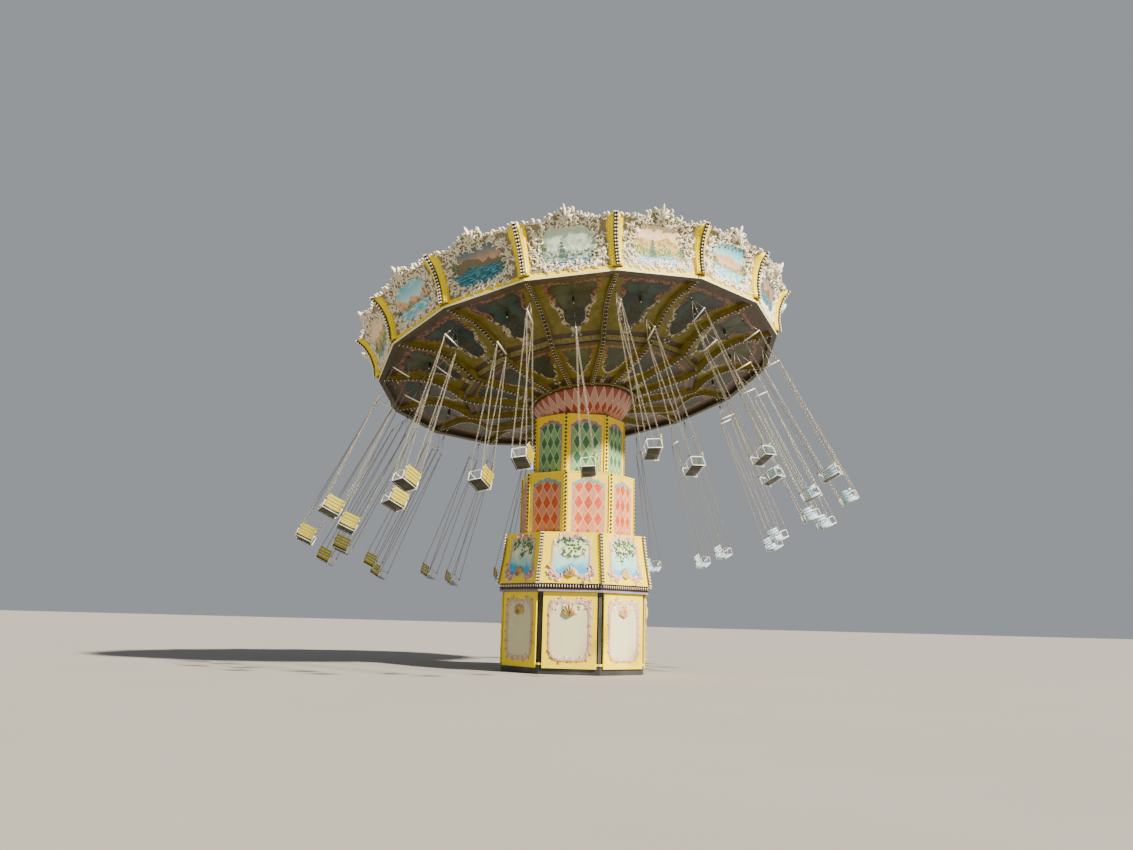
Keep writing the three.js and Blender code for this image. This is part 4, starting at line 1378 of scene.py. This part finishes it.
def boardReliefs():
    quarter = crownSize["sectors"] // 4
    for part in range(4):
        zone = Shape()
        runs = {"edge": [], "crest": [], "shell": []}
        for sector in range(part * quarter, (part + 1) * quarter):
            addCarvedZone(zone, sector)
            runs["edge"] += [edgeRun(sector, 1.08), edgeRun(sector, 1.3)]
            runs["crest"].append(crestRun(sector))
            runs["shell"].append(shellRun(sector))
        layers = []
        for kind, look in carving.items():
            settings = {**look, "Piece": curls[look["Piece"]]}
            settings.update({"Material": paints["relief"], "Seed": 5 + part})
            source = lines(kind, runs[kind]) if kind in runs else zone.mesh(kind)
            tree = rowTree if kind in runs else scatterTree
            layers.append(baked(kind, source, tree, settings))
        mesh = joinedMesh(f"board_relief_{part + 1}", layers)
        place(f"board_relief_{part + 1}", mesh, "crown", "yellow_paint_panel", crownFrame)


boardGrounds()
boardPictures()
boardReliefs()
print("boards dressed")


# Corner strips of the crown with their lamps


cornerStrip = {
    "half": 0.062, "proud": 0.122, "thick": 0.012, "low": 0.135, "high": 1.495, "steps": 12,
    "lampOffset": 0.035, "pitch": 0.1, "lampSize": 1.05,
}


def cornerPoint(corner, across, height, proud):
    azimuth = crownAzimuth(corner)
    reach = boardRadius(height) + proud
    return outward(azimuth) * reach + outward(azimuth + 90) * across + upwards(height)


def bandSection(sector, side, height):
    # From the corner strip down to the board: distance from the board's edge, and how proud
    half = boardHalf(height)
    wide = bandHalf(height)
    steps = [(0.035, -0.004), (0.035, 0.126), (0.09, 0.102), (0.152, 0.066)]
    steps += [(wide * 0.94, 0.04), (wide, -0.004)]
    return [boardPoint(sector, -side * (half - inset), height, proud) for inset, proud in steps]


def crownCorners():
    shape = Shape()
    runs = []
    strip = cornerStrip
    half, proud, thick = strip["half"], strip["proud"], strip["thick"]
    heights = np.linspace(strip["low"], strip["high"], strip["steps"])
    for corner in range(crownSize["sectors"]):
        face = outward(crownAzimuth(corner))
        left = [cornerPoint(corner, -half, h, proud) for h in heights]
        right = [cornerPoint(corner, half, h, proud) for h in heights]
        solidStrip(shape, left, right, [face] * len(heights), thick)
        for sector, side in ((corner, 1), (corner - 1, -1)):
            sweptBar(shape, [bandSection(sector, side, h) for h in heights], 1)
        for side in (-1, 1):
            offset = side * strip["lampOffset"]
            runs.append([(cornerPoint(corner, offset, h, proud + thick), face) for h in heights])
    placeSolid(
        "crown_corners", shape, ["strip", "yellow"], "crown", "yellow_paint_panel", crownFrame,
        smooth=True,
    )
    lampRows("crown_corner", runs, strip, "crown", "cream_paint_metal", crownFrame)


crownCorners()
print("crown corners made")


# Beams under the crown


beamEdge = [  # radius and height over the rim plane
    (1.84, -1.195), (3.6, -0.93), (4.05, -0.8), (4.46, -0.45), (4.95, -0.15), (5.5, 0.02),
    (6.62, 0.03),
]
beamStrip = {
    "half": 0.05, "thick": 0.014, "clear": 0.001, "lampOffset": 0.027, "pitch": 0.13,
    "lampSize": 0.5,
}


def beamStrips():
    shape = Shape()
    runs = []
    half, thick = beamStrip["half"], beamStrip["thick"]
    for corner in range(crownSize["sectors"]):
        azimuth = crownAzimuth(corner)
        out, side = outward(azimuth), outward(azimuth + 90)
        middle, downs = [], []
        for i, (radius, height) in enumerate(beamEdge):
            a = beamEdge[max(0, i - 1)]
            b = beamEdge[min(len(beamEdge) - 1, i + 1)]
            slope = Vector((b[0] - a[0], b[1] - a[1])).normalized()
            downs.append(out * slope[1] - upwards(slope[0]))
            middle.append(out * radius + upwards(height) + downs[-1] * beamStrip["clear"])
        left, right = ([p + side * wide for p in middle] for wide in (-half, half))
        solidStrip(shape, left, right, downs, thick)
        for offset in (-beamStrip["lampOffset"], beamStrip["lampOffset"]):
            runs.append([(p + side * offset + d * thick, d) for p, d in zip(middle, downs)])
    placeSolid("beam_strips", shape, ["darkStrip"], "crown", "yellow_paint_metal", crownFrame)
    lampRows("beam", runs, beamStrip, "crown", "cream_paint_metal", crownFrame)


beamStrips()
print("beam strips made")


# Shafts


shafts = {
    "lower": {
        "sides": 8, "radius": 1.922, "phase": -7.5, "bottom": 3.9, "height": 2.37,
        "body": "tower_stage", "slot": "yellow_paint_panel",
    },
    "upper": {
        "sides": 7, "radius": 1.552, "phase": -12.1, "bottom": 5.85, "height": 2.422,
        "body": "tower_top", "slot": "green_paint_panel",
    },
}
shaftCorner = {
    "half": 0.075, "thick": 0.014, "sunk": 0.004, "lowInset": 0.02, "highInset": 0.03,
    "pitch": 0.12, "lampSize": 0.36, "socketSize": 1.35,
}


def shaftPainting(key, shaft):
    # One sheet per face, a little proud, with its own UV in metres
    shape = Shape()
    half = math.pi / shaft["sides"]
    reach = shaft["radius"] * math.cos(half) + 0.002
    halfWidth = shaft["radius"] * math.sin(half)
    columns = np.linspace(-halfWidth, halfWidth, 3)
    levels = (0.0, shaft["height"])
    for i in range(shaft["sides"]):
        azimuth = shaft["phase"] + 360 / shaft["sides"] * (i + 0.5)
        out, side = outward(azimuth) * reach, outward(azimuth + 90)
        rows = [[out + side * c + upwards(shaft["bottom"] + h) for c in columns] for h in levels]
        uvRows = [[(c, h) for c in columns] for h in levels]
        quadStrip(shape, rows, 0, uvRows, seed=i)
    name = f"{key}_shaft_painting"
    place(name, shape.mesh(name, [key]), shaft["body"], shaft["slot"])


def shaftCorners(key, shaft):
    shape = Shape()
    runs = []
    half, thick = shaftCorner["half"], shaftCorner["thick"]
    low = shaft["bottom"] + shaftCorner["lowInset"]
    high = shaft["bottom"] + shaft["height"] - shaftCorner["highInset"]
    for i in range(shaft["sides"]):
        azimuth = shaft["phase"] + 360 / shaft["sides"] * i
        out, side = outward(azimuth), outward(azimuth + 90)
        base = out * (shaft["radius"] - shaftCorner["sunk"])
        left = [base - side * half + upwards(h) for h in (low, high)]
        right = [base + side * half + upwards(h) for h in (low, high)]
        solidStrip(shape, left, right, [out, out], thick)
        runs.append([(base + out * thick + upwards(h), out) for h in (low, high)])
    placeSolid(f"{key}_shaft_corners", shape, ["yellow"], shaft["body"], shaft["slot"])
    lampRows(f"{key}_shaft_lamp", runs, shaftCorner, shaft["body"], shaft["slot"])


for key, shaft in shafts.items():
    shaftPainting(key, shaft)
    shaftCorners(key, shaft)
print("shafts dressed")


# Bell


bellSize = {"radius": 1.92, "thick": 0.03, "rim": 1.2, "open": 30, "segments": 112, "steps": 14}


def bellShell():
    # Two bowls, one in the other, from the rim down to the opening round the shaft
    count, segments, steps = bellLook["count"], bellSize["segments"], bellSize["steps"]
    radius, rise = bellSize["radius"], crownSize["rimRise"]
    rimAngle = math.acos((bellSize["rim"] - rise) / radius)
    openAngle = math.radians(bellSize["open"])
    rows, uvRows, inner = [], [], []
    for i in range(steps + 1):
        angle = rimAngle + (openAngle - rimAngle) * i / steps
        row, uvRow, innerRow = [], [], []
        for k in range(segments + 1):
            azimuth = 360 * k / segments
            for size, target in ((radius, row), (radius - bellSize["thick"], innerRow)):
                point = outward(azimuth) * size * math.sin(angle)
                target.append(point - upwards(size * math.cos(angle) + rise))
            uvRow.append((count * k / segments, radius * (rimAngle - angle)))
        rows.append(row)
        uvRows.append(uvRow)
        inner.append(innerRow)
    shape = Shape()
    quadStrip(shape, rows, 0, uvRows)
    quadStrip(shape, inner, 1, flip=True)
    for i, flip in ((0, True), (-1, False)):
        quadStrip(shape, [rows[i], inner[i]], 1, flip=flip)
    placeSolid(
        "bell_shell", shape, ["bell", "steel"], "crown", "pink_paint_panel", crownFrame,
        smooth=True, replaced=["bell"],
    )


bellShell()
print("bell made")


# Skirt and base


skirtSize = {
    "profile": [(2.617, 2.737), (2.467, 3.607), (2.379, 4.298)],  # radius at a corner, height
    "sides": 8, "proud": 0.004, "lean": 0.12,
}
panelSize = {"radius": 2.5, "sides": 8, "proud": 0.004, "bottom": 0.25}
skirtPicture = {
    "middle": 0.84, "halfWidth": 0.56, "halfHeight": 0.6, "roundness": 0.5,
    "notch": 0.17, "notchWidth": 0.17, "spread": 0.07, "wave": 0.03,
}
panelPicture = {
    "middle": 1.08, "halfWidth": 0.58, "halfHeight": 0.84, "roundness": 0.42,
    "notch": 0.1, "notchWidth": 0.13, "shoulder": 0.06,
}
bandShape = {"inner": -0.02, "foot": 0.005, "rise": 0.016}

# Degrees round an outline and metres. A band has widths at turns, a line goes from one turn to
# another at a distance from the outline with a radius, and relief goes along such runs too.

skirtLook = {
    "picture": ("skirt_pictures", "foliage"),
    "band": [
        (0, 0.08), (60, 0.09), (80, 0.14), (100, 0.14), (120, 0.09), (180, 0.08), (205, 0.2),
        (235, 0.22), (262, 0.12), (278, 0.12), (305, 0.22), (335, 0.2), (360, 0.08),
    ],
    "lines": [(0, 360, 0.005, 0.014), (150, 390, 0.045, 0.009)],
    "relief": [
        {
            "paint": "relief", "piece": "scroll", "pitch": 0.115, "size": 0.6, "jitter": 0.4,
            "runs": [
                (22, 158, 0.01), (198, 342, 0.02), (26, 62, 0.07), (118, 154, 0.07),
                (200, 252, 0.19), (288, 340, 0.19),
            ],
        },
        {
            "paint": "pinkRelief", "piece": "leaf", "pitch": 0.085, "size": 0.72, "jitter": 0.9,
            "runs": [(192, 256, 0.08), (284, 348, 0.08), (70, 110, 0.04)],
        },
        {
            "paint": "pinkRelief", "piece": "scroll", "pitch": 0.13, "size": 0.85, "jitter": 0.5,
            "runs": [(204, 244, 0.15), (296, 336, 0.15)],
        },
        {
            "paint": "goldRelief", "piece": "shell", "pitch": 0.05, "size": 1.0,
            "upright": (0.2, 0.22),
        },
    ],
}
panelLook = {
    "picture": ("panel_fields", "cream"),
    "band": [
        (0, 0.1), (50, 0.17), (75, 0.12), (90, 0.16), (105, 0.12), (130, 0.17), (180, 0.1),
        (270, 0.12), (360, 0.1),
    ],
    "lines": [(0, 360, 0.0, 0.015), (0, 360, 0.05, 0.011)],
    "relief": [
        {
            "paint": "relief", "piece": "scroll", "pitch": 0.12, "size": 0.62, "jitter": 0.3,
            "runs": [
                (30, 150, 0.02), (55, 125, 0.1), (210, 330, 0.03), (58, 122, -0.08),
                (72, 108, -0.16),
            ],
        },
        {
            "paint": "pinkRelief", "piece": "scroll", "pitch": 0.13, "size": 0.62, "jitter": 0.4,
            "runs": [
                (-35, 75, 0.07), (105, 215, 0.07), (38, 75, 0.14), (105, 142, 0.14),
                (225, 315, 0.08),
            ],
        },
        {
            "paint": "goldRelief", "piece": "shell", "pitch": 0.05, "size": 1.1,
            "upright": (1.5, 1.52),
        },
    ],
}


def skirtSide(face):
    # A side's points, by metres across and up along its slope, and the way it faces
    profile, azimuth = skirtSize["profile"], 45 * face
    lengths = [0.0]
    for (r0, z0), (r1, z1) in zip(profile, profile[1:]):
        lengths.append(lengths[-1] + math.hypot(r1 - r0, z1 - z0))
    radii, heights = zip(*profile)

    def pointAt(across, up, proud=skirtSize["proud"]):
        radius = np.interp(up, lengths, radii)
        reach = (radius + proud) * math.cos(math.pi / skirtSize["sides"])
        height = np.interp(up, lengths, heights)
        return outward(azimuth) * reach + outward(azimuth + 90) * across + upwards(height)

    return pointAt, outward(azimuth) + upwards(skirtSize["lean"])


def panelSide(face):
    out, side = outward(45 * face), outward(45 * face + 90)
    reach = panelSize["radius"] * math.cos(math.pi / panelSize["sides"]) + panelSize["proud"]

    def pointAt(across, up, proud=0.0):
        return out * (reach + proud) + side * across + upwards(up + panelSize["bottom"])

    return pointAt, out


def outlinePoint(look, turn, grow):
    c, s = math.cos(turn), math.sin(turn)
    x = (look["halfWidth"] + grow) * squarish(c, look["roundness"])
    z = look["middle"] + (look["halfHeight"] + grow) * squarish(s, look["roundness"])
    notch = look["notch"] * math.exp(-((x / look["notchWidth"]) ** 2)) * abs(s)
    return x, z, s, notch


def skirtOutline(turn, grow=0.0):
    # A cartouche: wide below with two lobes, drawn in at the middle of its foot
    x, z, s, notch = outlinePoint(skirtPicture, turn, grow)
    if s < 0:
        z += notch
        x *= 1 + skirtPicture["spread"] * abs(s)
    else:
        z -= skirtPicture["wave"] * math.cos(x * 14) * abs(s)
    return x, z


def panelOutline(turn, grow=0.0):
    # A tall cartouche, drawn in at the middle of its top
    x, z, s, notch = outlinePoint(panelPicture, turn, grow)
    if s > 0:
        z -= notch
        x *= 1 - panelPicture["shoulder"] * abs(s) ** 4
    return x, z


def cartouches(sides, outline, middle):
    # The filled outline on every side, with its own UV in metres from its middle
    shape = Shape()
    fan = fanRows(outline, middle, 48, 5)
    uvRows = [[(x, z - middle) for x, z in row] for row in fan]
    for number, (pointAt, _) in enumerate(sides):
        rows = [[pointAt(x, z) for x, z in row] for row in fan]
        quadStrip(shape, rows, 0, uvRows, seed=number + 1.0, flip=True)
    return shape


def frameBands(sides, outline, widths):
    # A low rounded band round each outline
    shape = Shape()
    for pointAt, _ in sides:
        rows = []
        for share in (0.0, 0.25, 0.6, 1.0):
            proud = bandShape["foot"] + bandShape["rise"] * math.sin(math.pi * (0.1 + 0.8 * share))
            row = []
            for i in range(49):
                grow = bandShape["inner"] + share * np.interp(i * 7.5, *zip(*widths))
                x, z = outline(math.radians(i * 7.5), grow)
                row.append(pointAt(x, z, proud))
            rows.append(row)
        quadStrip(shape, rows, flip=True)
    return shape


def frameLines(sides, outline, spans):
    # Thin raised mouldings along each outline
    shape = Shape()
    for pointAt, _ in sides:
        for start, end, grow, radius in spans:
            turns = [math.radians(start + (end - start) * i / 40) for i in range(41)]
            whole = abs(end - start) >= 360
            path = [pointAt(*outline(turn, grow)) for turn in (turns[:-1] if whole else turns)]
            tube(shape, path, radius, 5, closed=whole)
    return shape


def outlineRun(pointAt, facing, outline, start, end, grow):
    turns = [math.radians(start + (end - start) * i / 32) for i in range(33)]
    return [(pointAt(*outline(turn, grow)), facing) for turn in turns]


def reliefRuns(sides, outline, look):
    runs = []
    for pointAt, facing in sides:
        if "upright" in look:  # one short edge for a single piece to stand along
            runs.append([(pointAt(0, up), facing) for up in look["upright"]])
        else:
            runs += [outlineRun(pointAt, facing, outline, *run) for run in look["runs"]]
    return runs


def reliefAlong(name, sides, outline, looks):
    layers = []
    for number, look in enumerate(looks):
        jitter = look.get("jitter", 0.0)
        settings = {
            "Piece": curls[look["piece"]], "Pitch": look["pitch"], "Size": look["size"],
            "Size Jitter": look["size"] * 0.25 if jitter else 0.0, "Turn Jitter": jitter,
            "Turn Every Other": 2.6 if jitter else 0.0, "Seed": 21 + number,
            "Material": paints[look["paint"]],
        }
        layers.append(baked(name, lines(name, reliefRuns(sides, outline, look)), rowTree, settings))
    return joinedMesh(name, layers)


def dressSides(name, sides, outline, middle, look):
    pictureName, picturePaintName = look["picture"]
    bands = frameBands(sides, outline, look["band"])
    mesh = bands.mesh(f"{name}_bands", ["frameGround"], True)
    place(f"{name}_bands", mesh, "base", "yellow_paint_panel")
    mouldings = frameLines(sides, outline, look["lines"])
    placeSolid(f"{name}_frames", mouldings, ["mauve"], "base", "yellow_paint_panel", smooth=True)
    mesh = cartouches(sides, outline, middle).mesh(pictureName, [picturePaintName])
    place(pictureName, mesh, "base", "yellow_paint_panel")
    mesh = reliefAlong(f"{name}_relief", sides, outline, look["relief"])
    place(f"{name}_relief", mesh, "base", "yellow_paint_panel")


skirtStrip = {
    "half": 0.05, "thick": 0.02, "sunk": 0.004, "lampOffset": 0.03, "pitch": 0.095, "lampSize": 1.1,
}


def skirtCorners():
    shape = Shape()
    runs = []
    half, thick = skirtStrip["half"], skirtStrip["thick"]
    for corner in range(skirtSize["sides"]):
        azimuth = 22.5 + 45 * corner
        out, side = outward(azimuth), outward(azimuth + 90)
        points = [out * (r - skirtStrip["sunk"]) + upwards(z) for r, z in skirtSize["profile"]]
        left, right = ([p + side * wide for p in points] for wide in (-half, half))
        solidStrip(shape, left, right, [out] * len(points), thick)
        facing = out + upwards(skirtSize["lean"])
        for offset in (-skirtStrip["lampOffset"], skirtStrip["lampOffset"]):
            runs.append([(p + side * offset + out * thick, facing) for p in points])
    placeSolid("skirt_corners", shape, ["tanStrip"], "base", "yellow_paint_panel")
    lampRows("skirt_corner", runs, skirtStrip, "base", "yellow_paint_panel")


ledge = {
    "low": 2.552, "high": 2.73, "radius": 2.562,
    "lampProud": 0.022, "lampFoot": 2.6, "lampLean": 0.1, "pitch": 0.085, "lampSize": 1.0,
}


def ledgeBand():
    # A dark band over the ledge with a row of candles in front of it
    shape = Shape()
    runs = []
    corners = [22.5 + 45 * i for i in range(9)]
    for a, b in zip(corners, corners[1:]):
        out = outward((a + b) / 2)
        left, right = outward(a) * ledge["radius"], outward(b) * ledge["radius"]
        levels = (ledge["low"], ledge["high"])
        quadStrip(shape, [[end + upwards(z) for end in (left, right)] for z in levels])
        foot = out * ledge["lampProud"] + upwards(ledge["lampFoot"])
        facing = upwards(1) + out * ledge["lampLean"]
        runs.append([(left.lerp(right, share) + foot, facing) for share in (0.02, 0.98)])
    place("ledge_band", shape.mesh("ledge_band", ["brown"]), "base", "grey_paint_metal")
    lampRows("ledge_lamp", runs, ledge, "base", "grey_paint_metal", bulb=candlePattern)


skirtSides = [skirtSide(face) for face in range(skirtSize["sides"])]
panelSides = [panelSide(face) for face in range(panelSize["sides"])]
dressSides("skirt", skirtSides, skirtOutline, skirtPicture["middle"], skirtLook)
dressSides("panel", panelSides, panelOutline, panelPicture["middle"], panelLook)
skirtCorners()
ledgeBand()
print("base dressed")


# Chairs


chairSize = {
    "hangs": {"outer": 0.35, "inner": 0.7},  # from the pivot down to the stays
    "reach": 6.12,  # from the pivot down to the seat
    "spreaderDrop": 0.62, "spreaderHalf": 0.28, "arm": 0.24, "half": 0.25, "depth": 0.2,
    "linkLength": 0.07, "linkWidth": 0.03, "wire": 0.0058, "sheet": 0.012, "slats": 4,
    "pan": [  # seen from the side, from the front edge to the back
        (0.21, -0.035), (0.195, -0.008), (0.15, 0.0), (-0.08, -0.006), (-0.15, 0.015),
        (-0.18, 0.055),
    ],
    "back": [(-0.18, 0.055), (-0.23, 0.43)],
}
chairPaints = ["tube", "seatYellow", "seatBlue", "chain", "socket", "panShade"]
chairBars = {  # radius, sides, paint
    "stub": (0.016, 8, "tube"),
    "hanger": (0.01, 6, "chain"),
    "spreader": (0.021, 10, "tube"),
    "stay": (0.006, 5, "chain"),
    "shackle": (0.014, 6, "socket"),
    "collar": (0.017, 6, "socket"),
    "backPost": (0.012, 6, "seatYellow"),
    "frame": (0.013, 8, "tube"),
    "horn": (0.009, 6, "tube"),
    "clamp": (0.015, 6, "socket"),
    "lapBar": (0.012, 8, "tube"),
    "rail": (0.01, 8, "tube"),
    "strap": (0.008, 6, "tube"),
}


def bar(shape, kind, *path, closed=False):
    radius, sides, paint = chairBars[kind]
    tube(shape, path, radius, sides, chairPaints.index(paint), closed)


def linkPattern():
    shape = Shape()
    long, wide = chairSize["linkLength"] / 2, chairSize["linkWidth"] / 2
    path = [
        (long, 0, 0), (long * 0.45, wide, 0), (-long * 0.45, wide, 0),
        (-long, 0, 0), (-long * 0.45, -wide, 0), (long * 0.45, -wide, 0),
    ]
    tube(shape, path, chairSize["wire"], 3, closed=True)
    return solidPattern(shape, "linkPattern")


def slab(shape, half, outline, innerCount, slots):
    # A bent sheet across the chair: outline runs inner side first, then back along the outer side
    count = len(outline)
    points = [(x, y, z) for x in (-half, half) for y, z in outline]
    for i in range(count):
        j = (i + 1) % count
        slot = slots[0] if i < innerCount - 1 else slots[1]
        corners = [points[k] for k in (i, j, j + count, i + count)]
        shape.add(corners, [[0, 1, 2, 3]], slot=slot)
    for i in range(innerCount - 1):
        j = count - 1 - i
        for shift, order in ((0, [0, 1, 2, 3]), (count, [3, 2, 1, 0])):
            corners = [points[k + shift] for k in (i, i + 1, j - 1, j)]
            shape.add(corners, [order], slot=slots[1])


def addSheet(shape, half, run, backPaint):
    # A sheet that runs through points seen from the side, blue above
    reach = chairSize["reach"]
    inner, outer = [], []
    for i, (y, z) in enumerate(run):
        a, b = run[max(0, i - 1)], run[min(len(run) - 1, i + 1)]
        along = Vector((b[0] - a[0], b[1] - a[1])).normalized()
        away = Vector((along[1], -along[0])) * chairSize["sheet"]
        if away[1] > 0:
            away = -away
        inner.append((y, z - reach))
        outer.append((y + away[0], z + away[1] - reach))
    slots = (chairPaints.index("seatBlue"), chairPaints.index(backPaint))
    slab(shape, half, inner + outer[::-1], len(inner), slots)


def addSeat(shape):
    reach, half, back, slats = (chairSize[key] for key in ("reach", "half", "back", "slats"))
    # The pan's underside takes the dark paint as painted shade
    addSheet(shape, half, chairSize["pan"], "panShade")
    (y0, z0), (y1, z1) = back
    for i in range(slats):
        ends = ((i + 0.02) / slats, (i + 0.76) / slats)
        run = [(y0 + (y1 - y0) * share, z0 + (z1 - z0) * share) for share in ends]
        addSheet(shape, half - 0.01, run, "seatYellow")
    for side in (-1, 1):
        bar(shape, "backPost", *((side * (half - 0.03), y - 0.02, z - reach) for y, z in back))


def addArms(shape):
    depth = chairSize["depth"]
    wide = chairSize["half"] + 0.02
    level = -chairSize["reach"] + chairSize["arm"]
    low = -chairSize["reach"] - 0.03
    front = depth - 0.012
    for side in (-1, 1):
        x = side * wide
        bar(
            shape, "frame",
            (x, -depth + 0.012, low), (x, -depth + 0.012, level - 0.04), (x, -depth + 0.03, level),
            (x, depth - 0.03, level), (x, front, level - 0.03), (x, front, low), closed=True,
        )
        tip = (side * (wide - 0.02), -depth - 0.03, level + 0.1)
        bar(shape, "horn", (x, -depth + 0.02, level + 0.005), tip)
        for end in (-1, 1):
            upper = (x, end * (depth - 0.014), level + 0.05)
            bar(shape, "clamp", (x, end * front, level - 0.02), upper)
    bar(shape, "lapBar", (-wide, front, level), (wide, front, level))
    bar(shape, "rail", (-wide, front, low + 0.02), (wide, front, low + 0.02))
    bar(shape, "rail", (-wide, -depth + 0.02, low + 0.02), (wide, -depth + 0.02, low + 0.02))
    bar(shape, "strap", (0.0, front, level), (0.0, front, low + 0.02))


def chairMesh(hang, link):
    # A chair hanging from its pivot at the origin, facing +Y
    bottom = -hang - chairSize["spreaderDrop"]
    end = chairSize["spreaderHalf"]
    shape = Shape()
    bar(shape, "stub", (0, 0, 0.02), (0, 0, -0.09))
    bar(shape, "hanger", (0, 0, -0.06), (0, 0, -hang - 0.03))
    bar(shape, "spreader", (-end - 0.02, 0, bottom), (end + 0.02, 0, bottom))
    for side in (-1, 0, 1):
        bar(shape, "stay", (0, 0, -hang), (side * end * 0.96, 0, bottom + 0.01))
        bar(shape, "shackle", (side * 0.02, 0.0, -hang + 0.012), (side * 0.02, 0, -hang - 0.03))
    for side in (-1, 1):
        bar(shape, "collar", (side * end, 0, bottom + 0.028), (side * end, 0, bottom - 0.075))
    addSeat(shape)
    addArms(shape)
    seat = shape.mesh("seat", chairPaints)
    outwardFaces(seat)
    for polygon in seat.polygons:
        if polygon.material_index != chairPaints.index("seatYellow"):
            polygon.use_smooth = True
    runs = []
    arm = -chairSize["reach"] + chairSize["arm"]
    for side in (-1, 1):
        top = (side * end, 0, bottom - 0.06)
        for front in (-1, 1):
            foot = (side * (chairSize["half"] + 0.02), front * (chairSize["depth"] - 0.012), arm)
            runs.append([(top, (1, 0, 0)), (foot, (1, 0, 0))])
    settings = {
        "Piece": link, "Pitch": chairSize["linkLength"] * 0.8, "Turn Every Other": math.pi / 2,
        "Material": paints["chain"],
    }
    chains = baked("chains", lines("chains", runs), linkTree, settings)
    return joinedMesh("chair", [seat, chains])


def hangChairs():
    link = linkPattern()
    outer, inner = (chairMesh(hang, link) for hang in chairSize["hangs"].values())
    up = Vector(joints["crown_spin"]["axis"])
    crownPivot = Vector(joints["crown_spin"]["pos_m"])
    for number in range(1, 33):
        joint = joints[f"swing_{number:02d}_hinge"]
        pivot, axis = Vector(joint["pos_m"]), Vector(joint["axis"]).normalized()
        side = up.cross(axis)
        spoke = pivot - crownPivot
        inward = -(spoke - up * spoke.dot(up)).normalized()
        basis = Matrix((axis, side, up)).transposed().to_4x4()
        angle = math.radians(-joint["range_deg"][0])
        yaw = math.atan2(inward.dot(side), inward.dot(axis))
        matrix = Matrix.Translation(pivot) @ basis
        matrix = matrix @ Matrix.Rotation(angle, 4, "X") @ Matrix.Rotation(yaw, 4, "Z")
        mesh = (outer if number % 2 else inner).copy()
        name = f"hanging_chair_{number:02d}"
        mesh.name = name
        body, solid = f"swing_{number:02d}", f"chair_{number:02d}"
        place(name, mesh, body, "chair_paint_metal", matrix, [solid])
    bpy.data.objects.remove(link)


hangChairs()
for thing in (globePattern, socketPattern, candlePattern, *curls.values()):
    bpy.data.objects.remove(thing)
print("chairs hung")


# Stage, light and camera


studio = {"floor": 400, "sky": "e3e8ee", "strength": 0.42}
lights = {
    "key": {
        "energy": 15.5, "spread": 0.05, "from": (19.0, -11.0, 18.1), "aim": (0, 0, 0),
        "color": "fff2df",
    },
    "fill": {
        "energy": 0.35, "spread": 1.2, "from": (10, -20, 3), "aim": (0, 0, 6),
        "color": "f2f4ff",
    },
}
view = {
    "place": (2.0967, -32.3247, 1.599), "yaw": -0.07813, "pitch": 0.20006, "roll": 0.02549,
    "focal": 966.66, "imageWidth": 1133,
}


def addFloor():
    mesh = bpy.data.meshes.new("floor")
    size = studio["floor"]
    corners = [(-size, -size, 0), (size, -size, 0), (size, size, 0), (-size, size, 0)]
    mesh.from_pydata(corners, [], [[0, 1, 2, 3]])
    material, graph, shader = newMaterial("floorPale", 0.9)
    tone = graph.mixTones(graph.noise(objectPlace(graph), 0.2, 2), ("8b8984", "93918c"))
    graph.feed(shader.inputs["Base Color"], tone)
    mesh.materials.append(material)
    floor = bpy.data.objects.new("floor", mesh)
    bpy.context.scene.collection.objects.link(floor)
    floor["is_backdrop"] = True


def addLight():
    world = bpy.data.worlds.new("studio")
    world.use_nodes = True
    background = world.node_tree.nodes["Background"]
    background.inputs["Color"].default_value = tint(studio["sky"])
    background.inputs["Strength"].default_value = studio["strength"]
    bpy.context.scene.world = world
    for name, look in lights.items():
        light = bpy.data.lights.new(name, "SUN")
        light.energy = look["energy"]
        light.angle = look["spread"]
        light.color = tint(look["color"])[:3]
        lamp = bpy.data.objects.new(name, light)
        lamp.location = look["from"]
        aim = Vector(look["aim"]) - Vector(look["from"])
        lamp.rotation_euler = aim.to_track_quat("-Z", "Y").to_euler()
        bpy.context.scene.collection.objects.link(lamp)


def addCamera():
    yaw, pitch, roll = view["yaw"], view["pitch"], view["roll"]
    right = Vector((math.cos(yaw), -math.sin(yaw), 0))
    ahead = Vector((math.sin(yaw), math.cos(yaw), 0))
    forward = ahead * math.cos(pitch) + upwards(1) * math.sin(pitch)
    up = -ahead * math.sin(pitch) + upwards(1) * math.cos(pitch)
    turnedRight = right * math.cos(roll) + up * math.sin(roll)
    turnedUp = -right * math.sin(roll) + up * math.cos(roll)
    data = bpy.data.cameras.new("camera")
    data.sensor_width = 36
    data.lens = view["focal"] / view["imageWidth"] * data.sensor_width
    data.clip_end = 1000
    camera = bpy.data.objects.new("camera", data)
    basis = Matrix((turnedRight, turnedUp, -forward)).transposed().to_4x4()
    camera.matrix_world = Matrix.Translation(view["place"]) @ basis
    bpy.context.scene.collection.objects.link(camera)
    bpy.context.scene.camera = camera


addFloor()
addLight()
addCamera()
print("stage, light and camera set")

boxes = {"cad": cadBounds, "visual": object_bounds()}
{key: [[float(c) for c in corner] for corner in pair] for key, pair in boxes.items()}
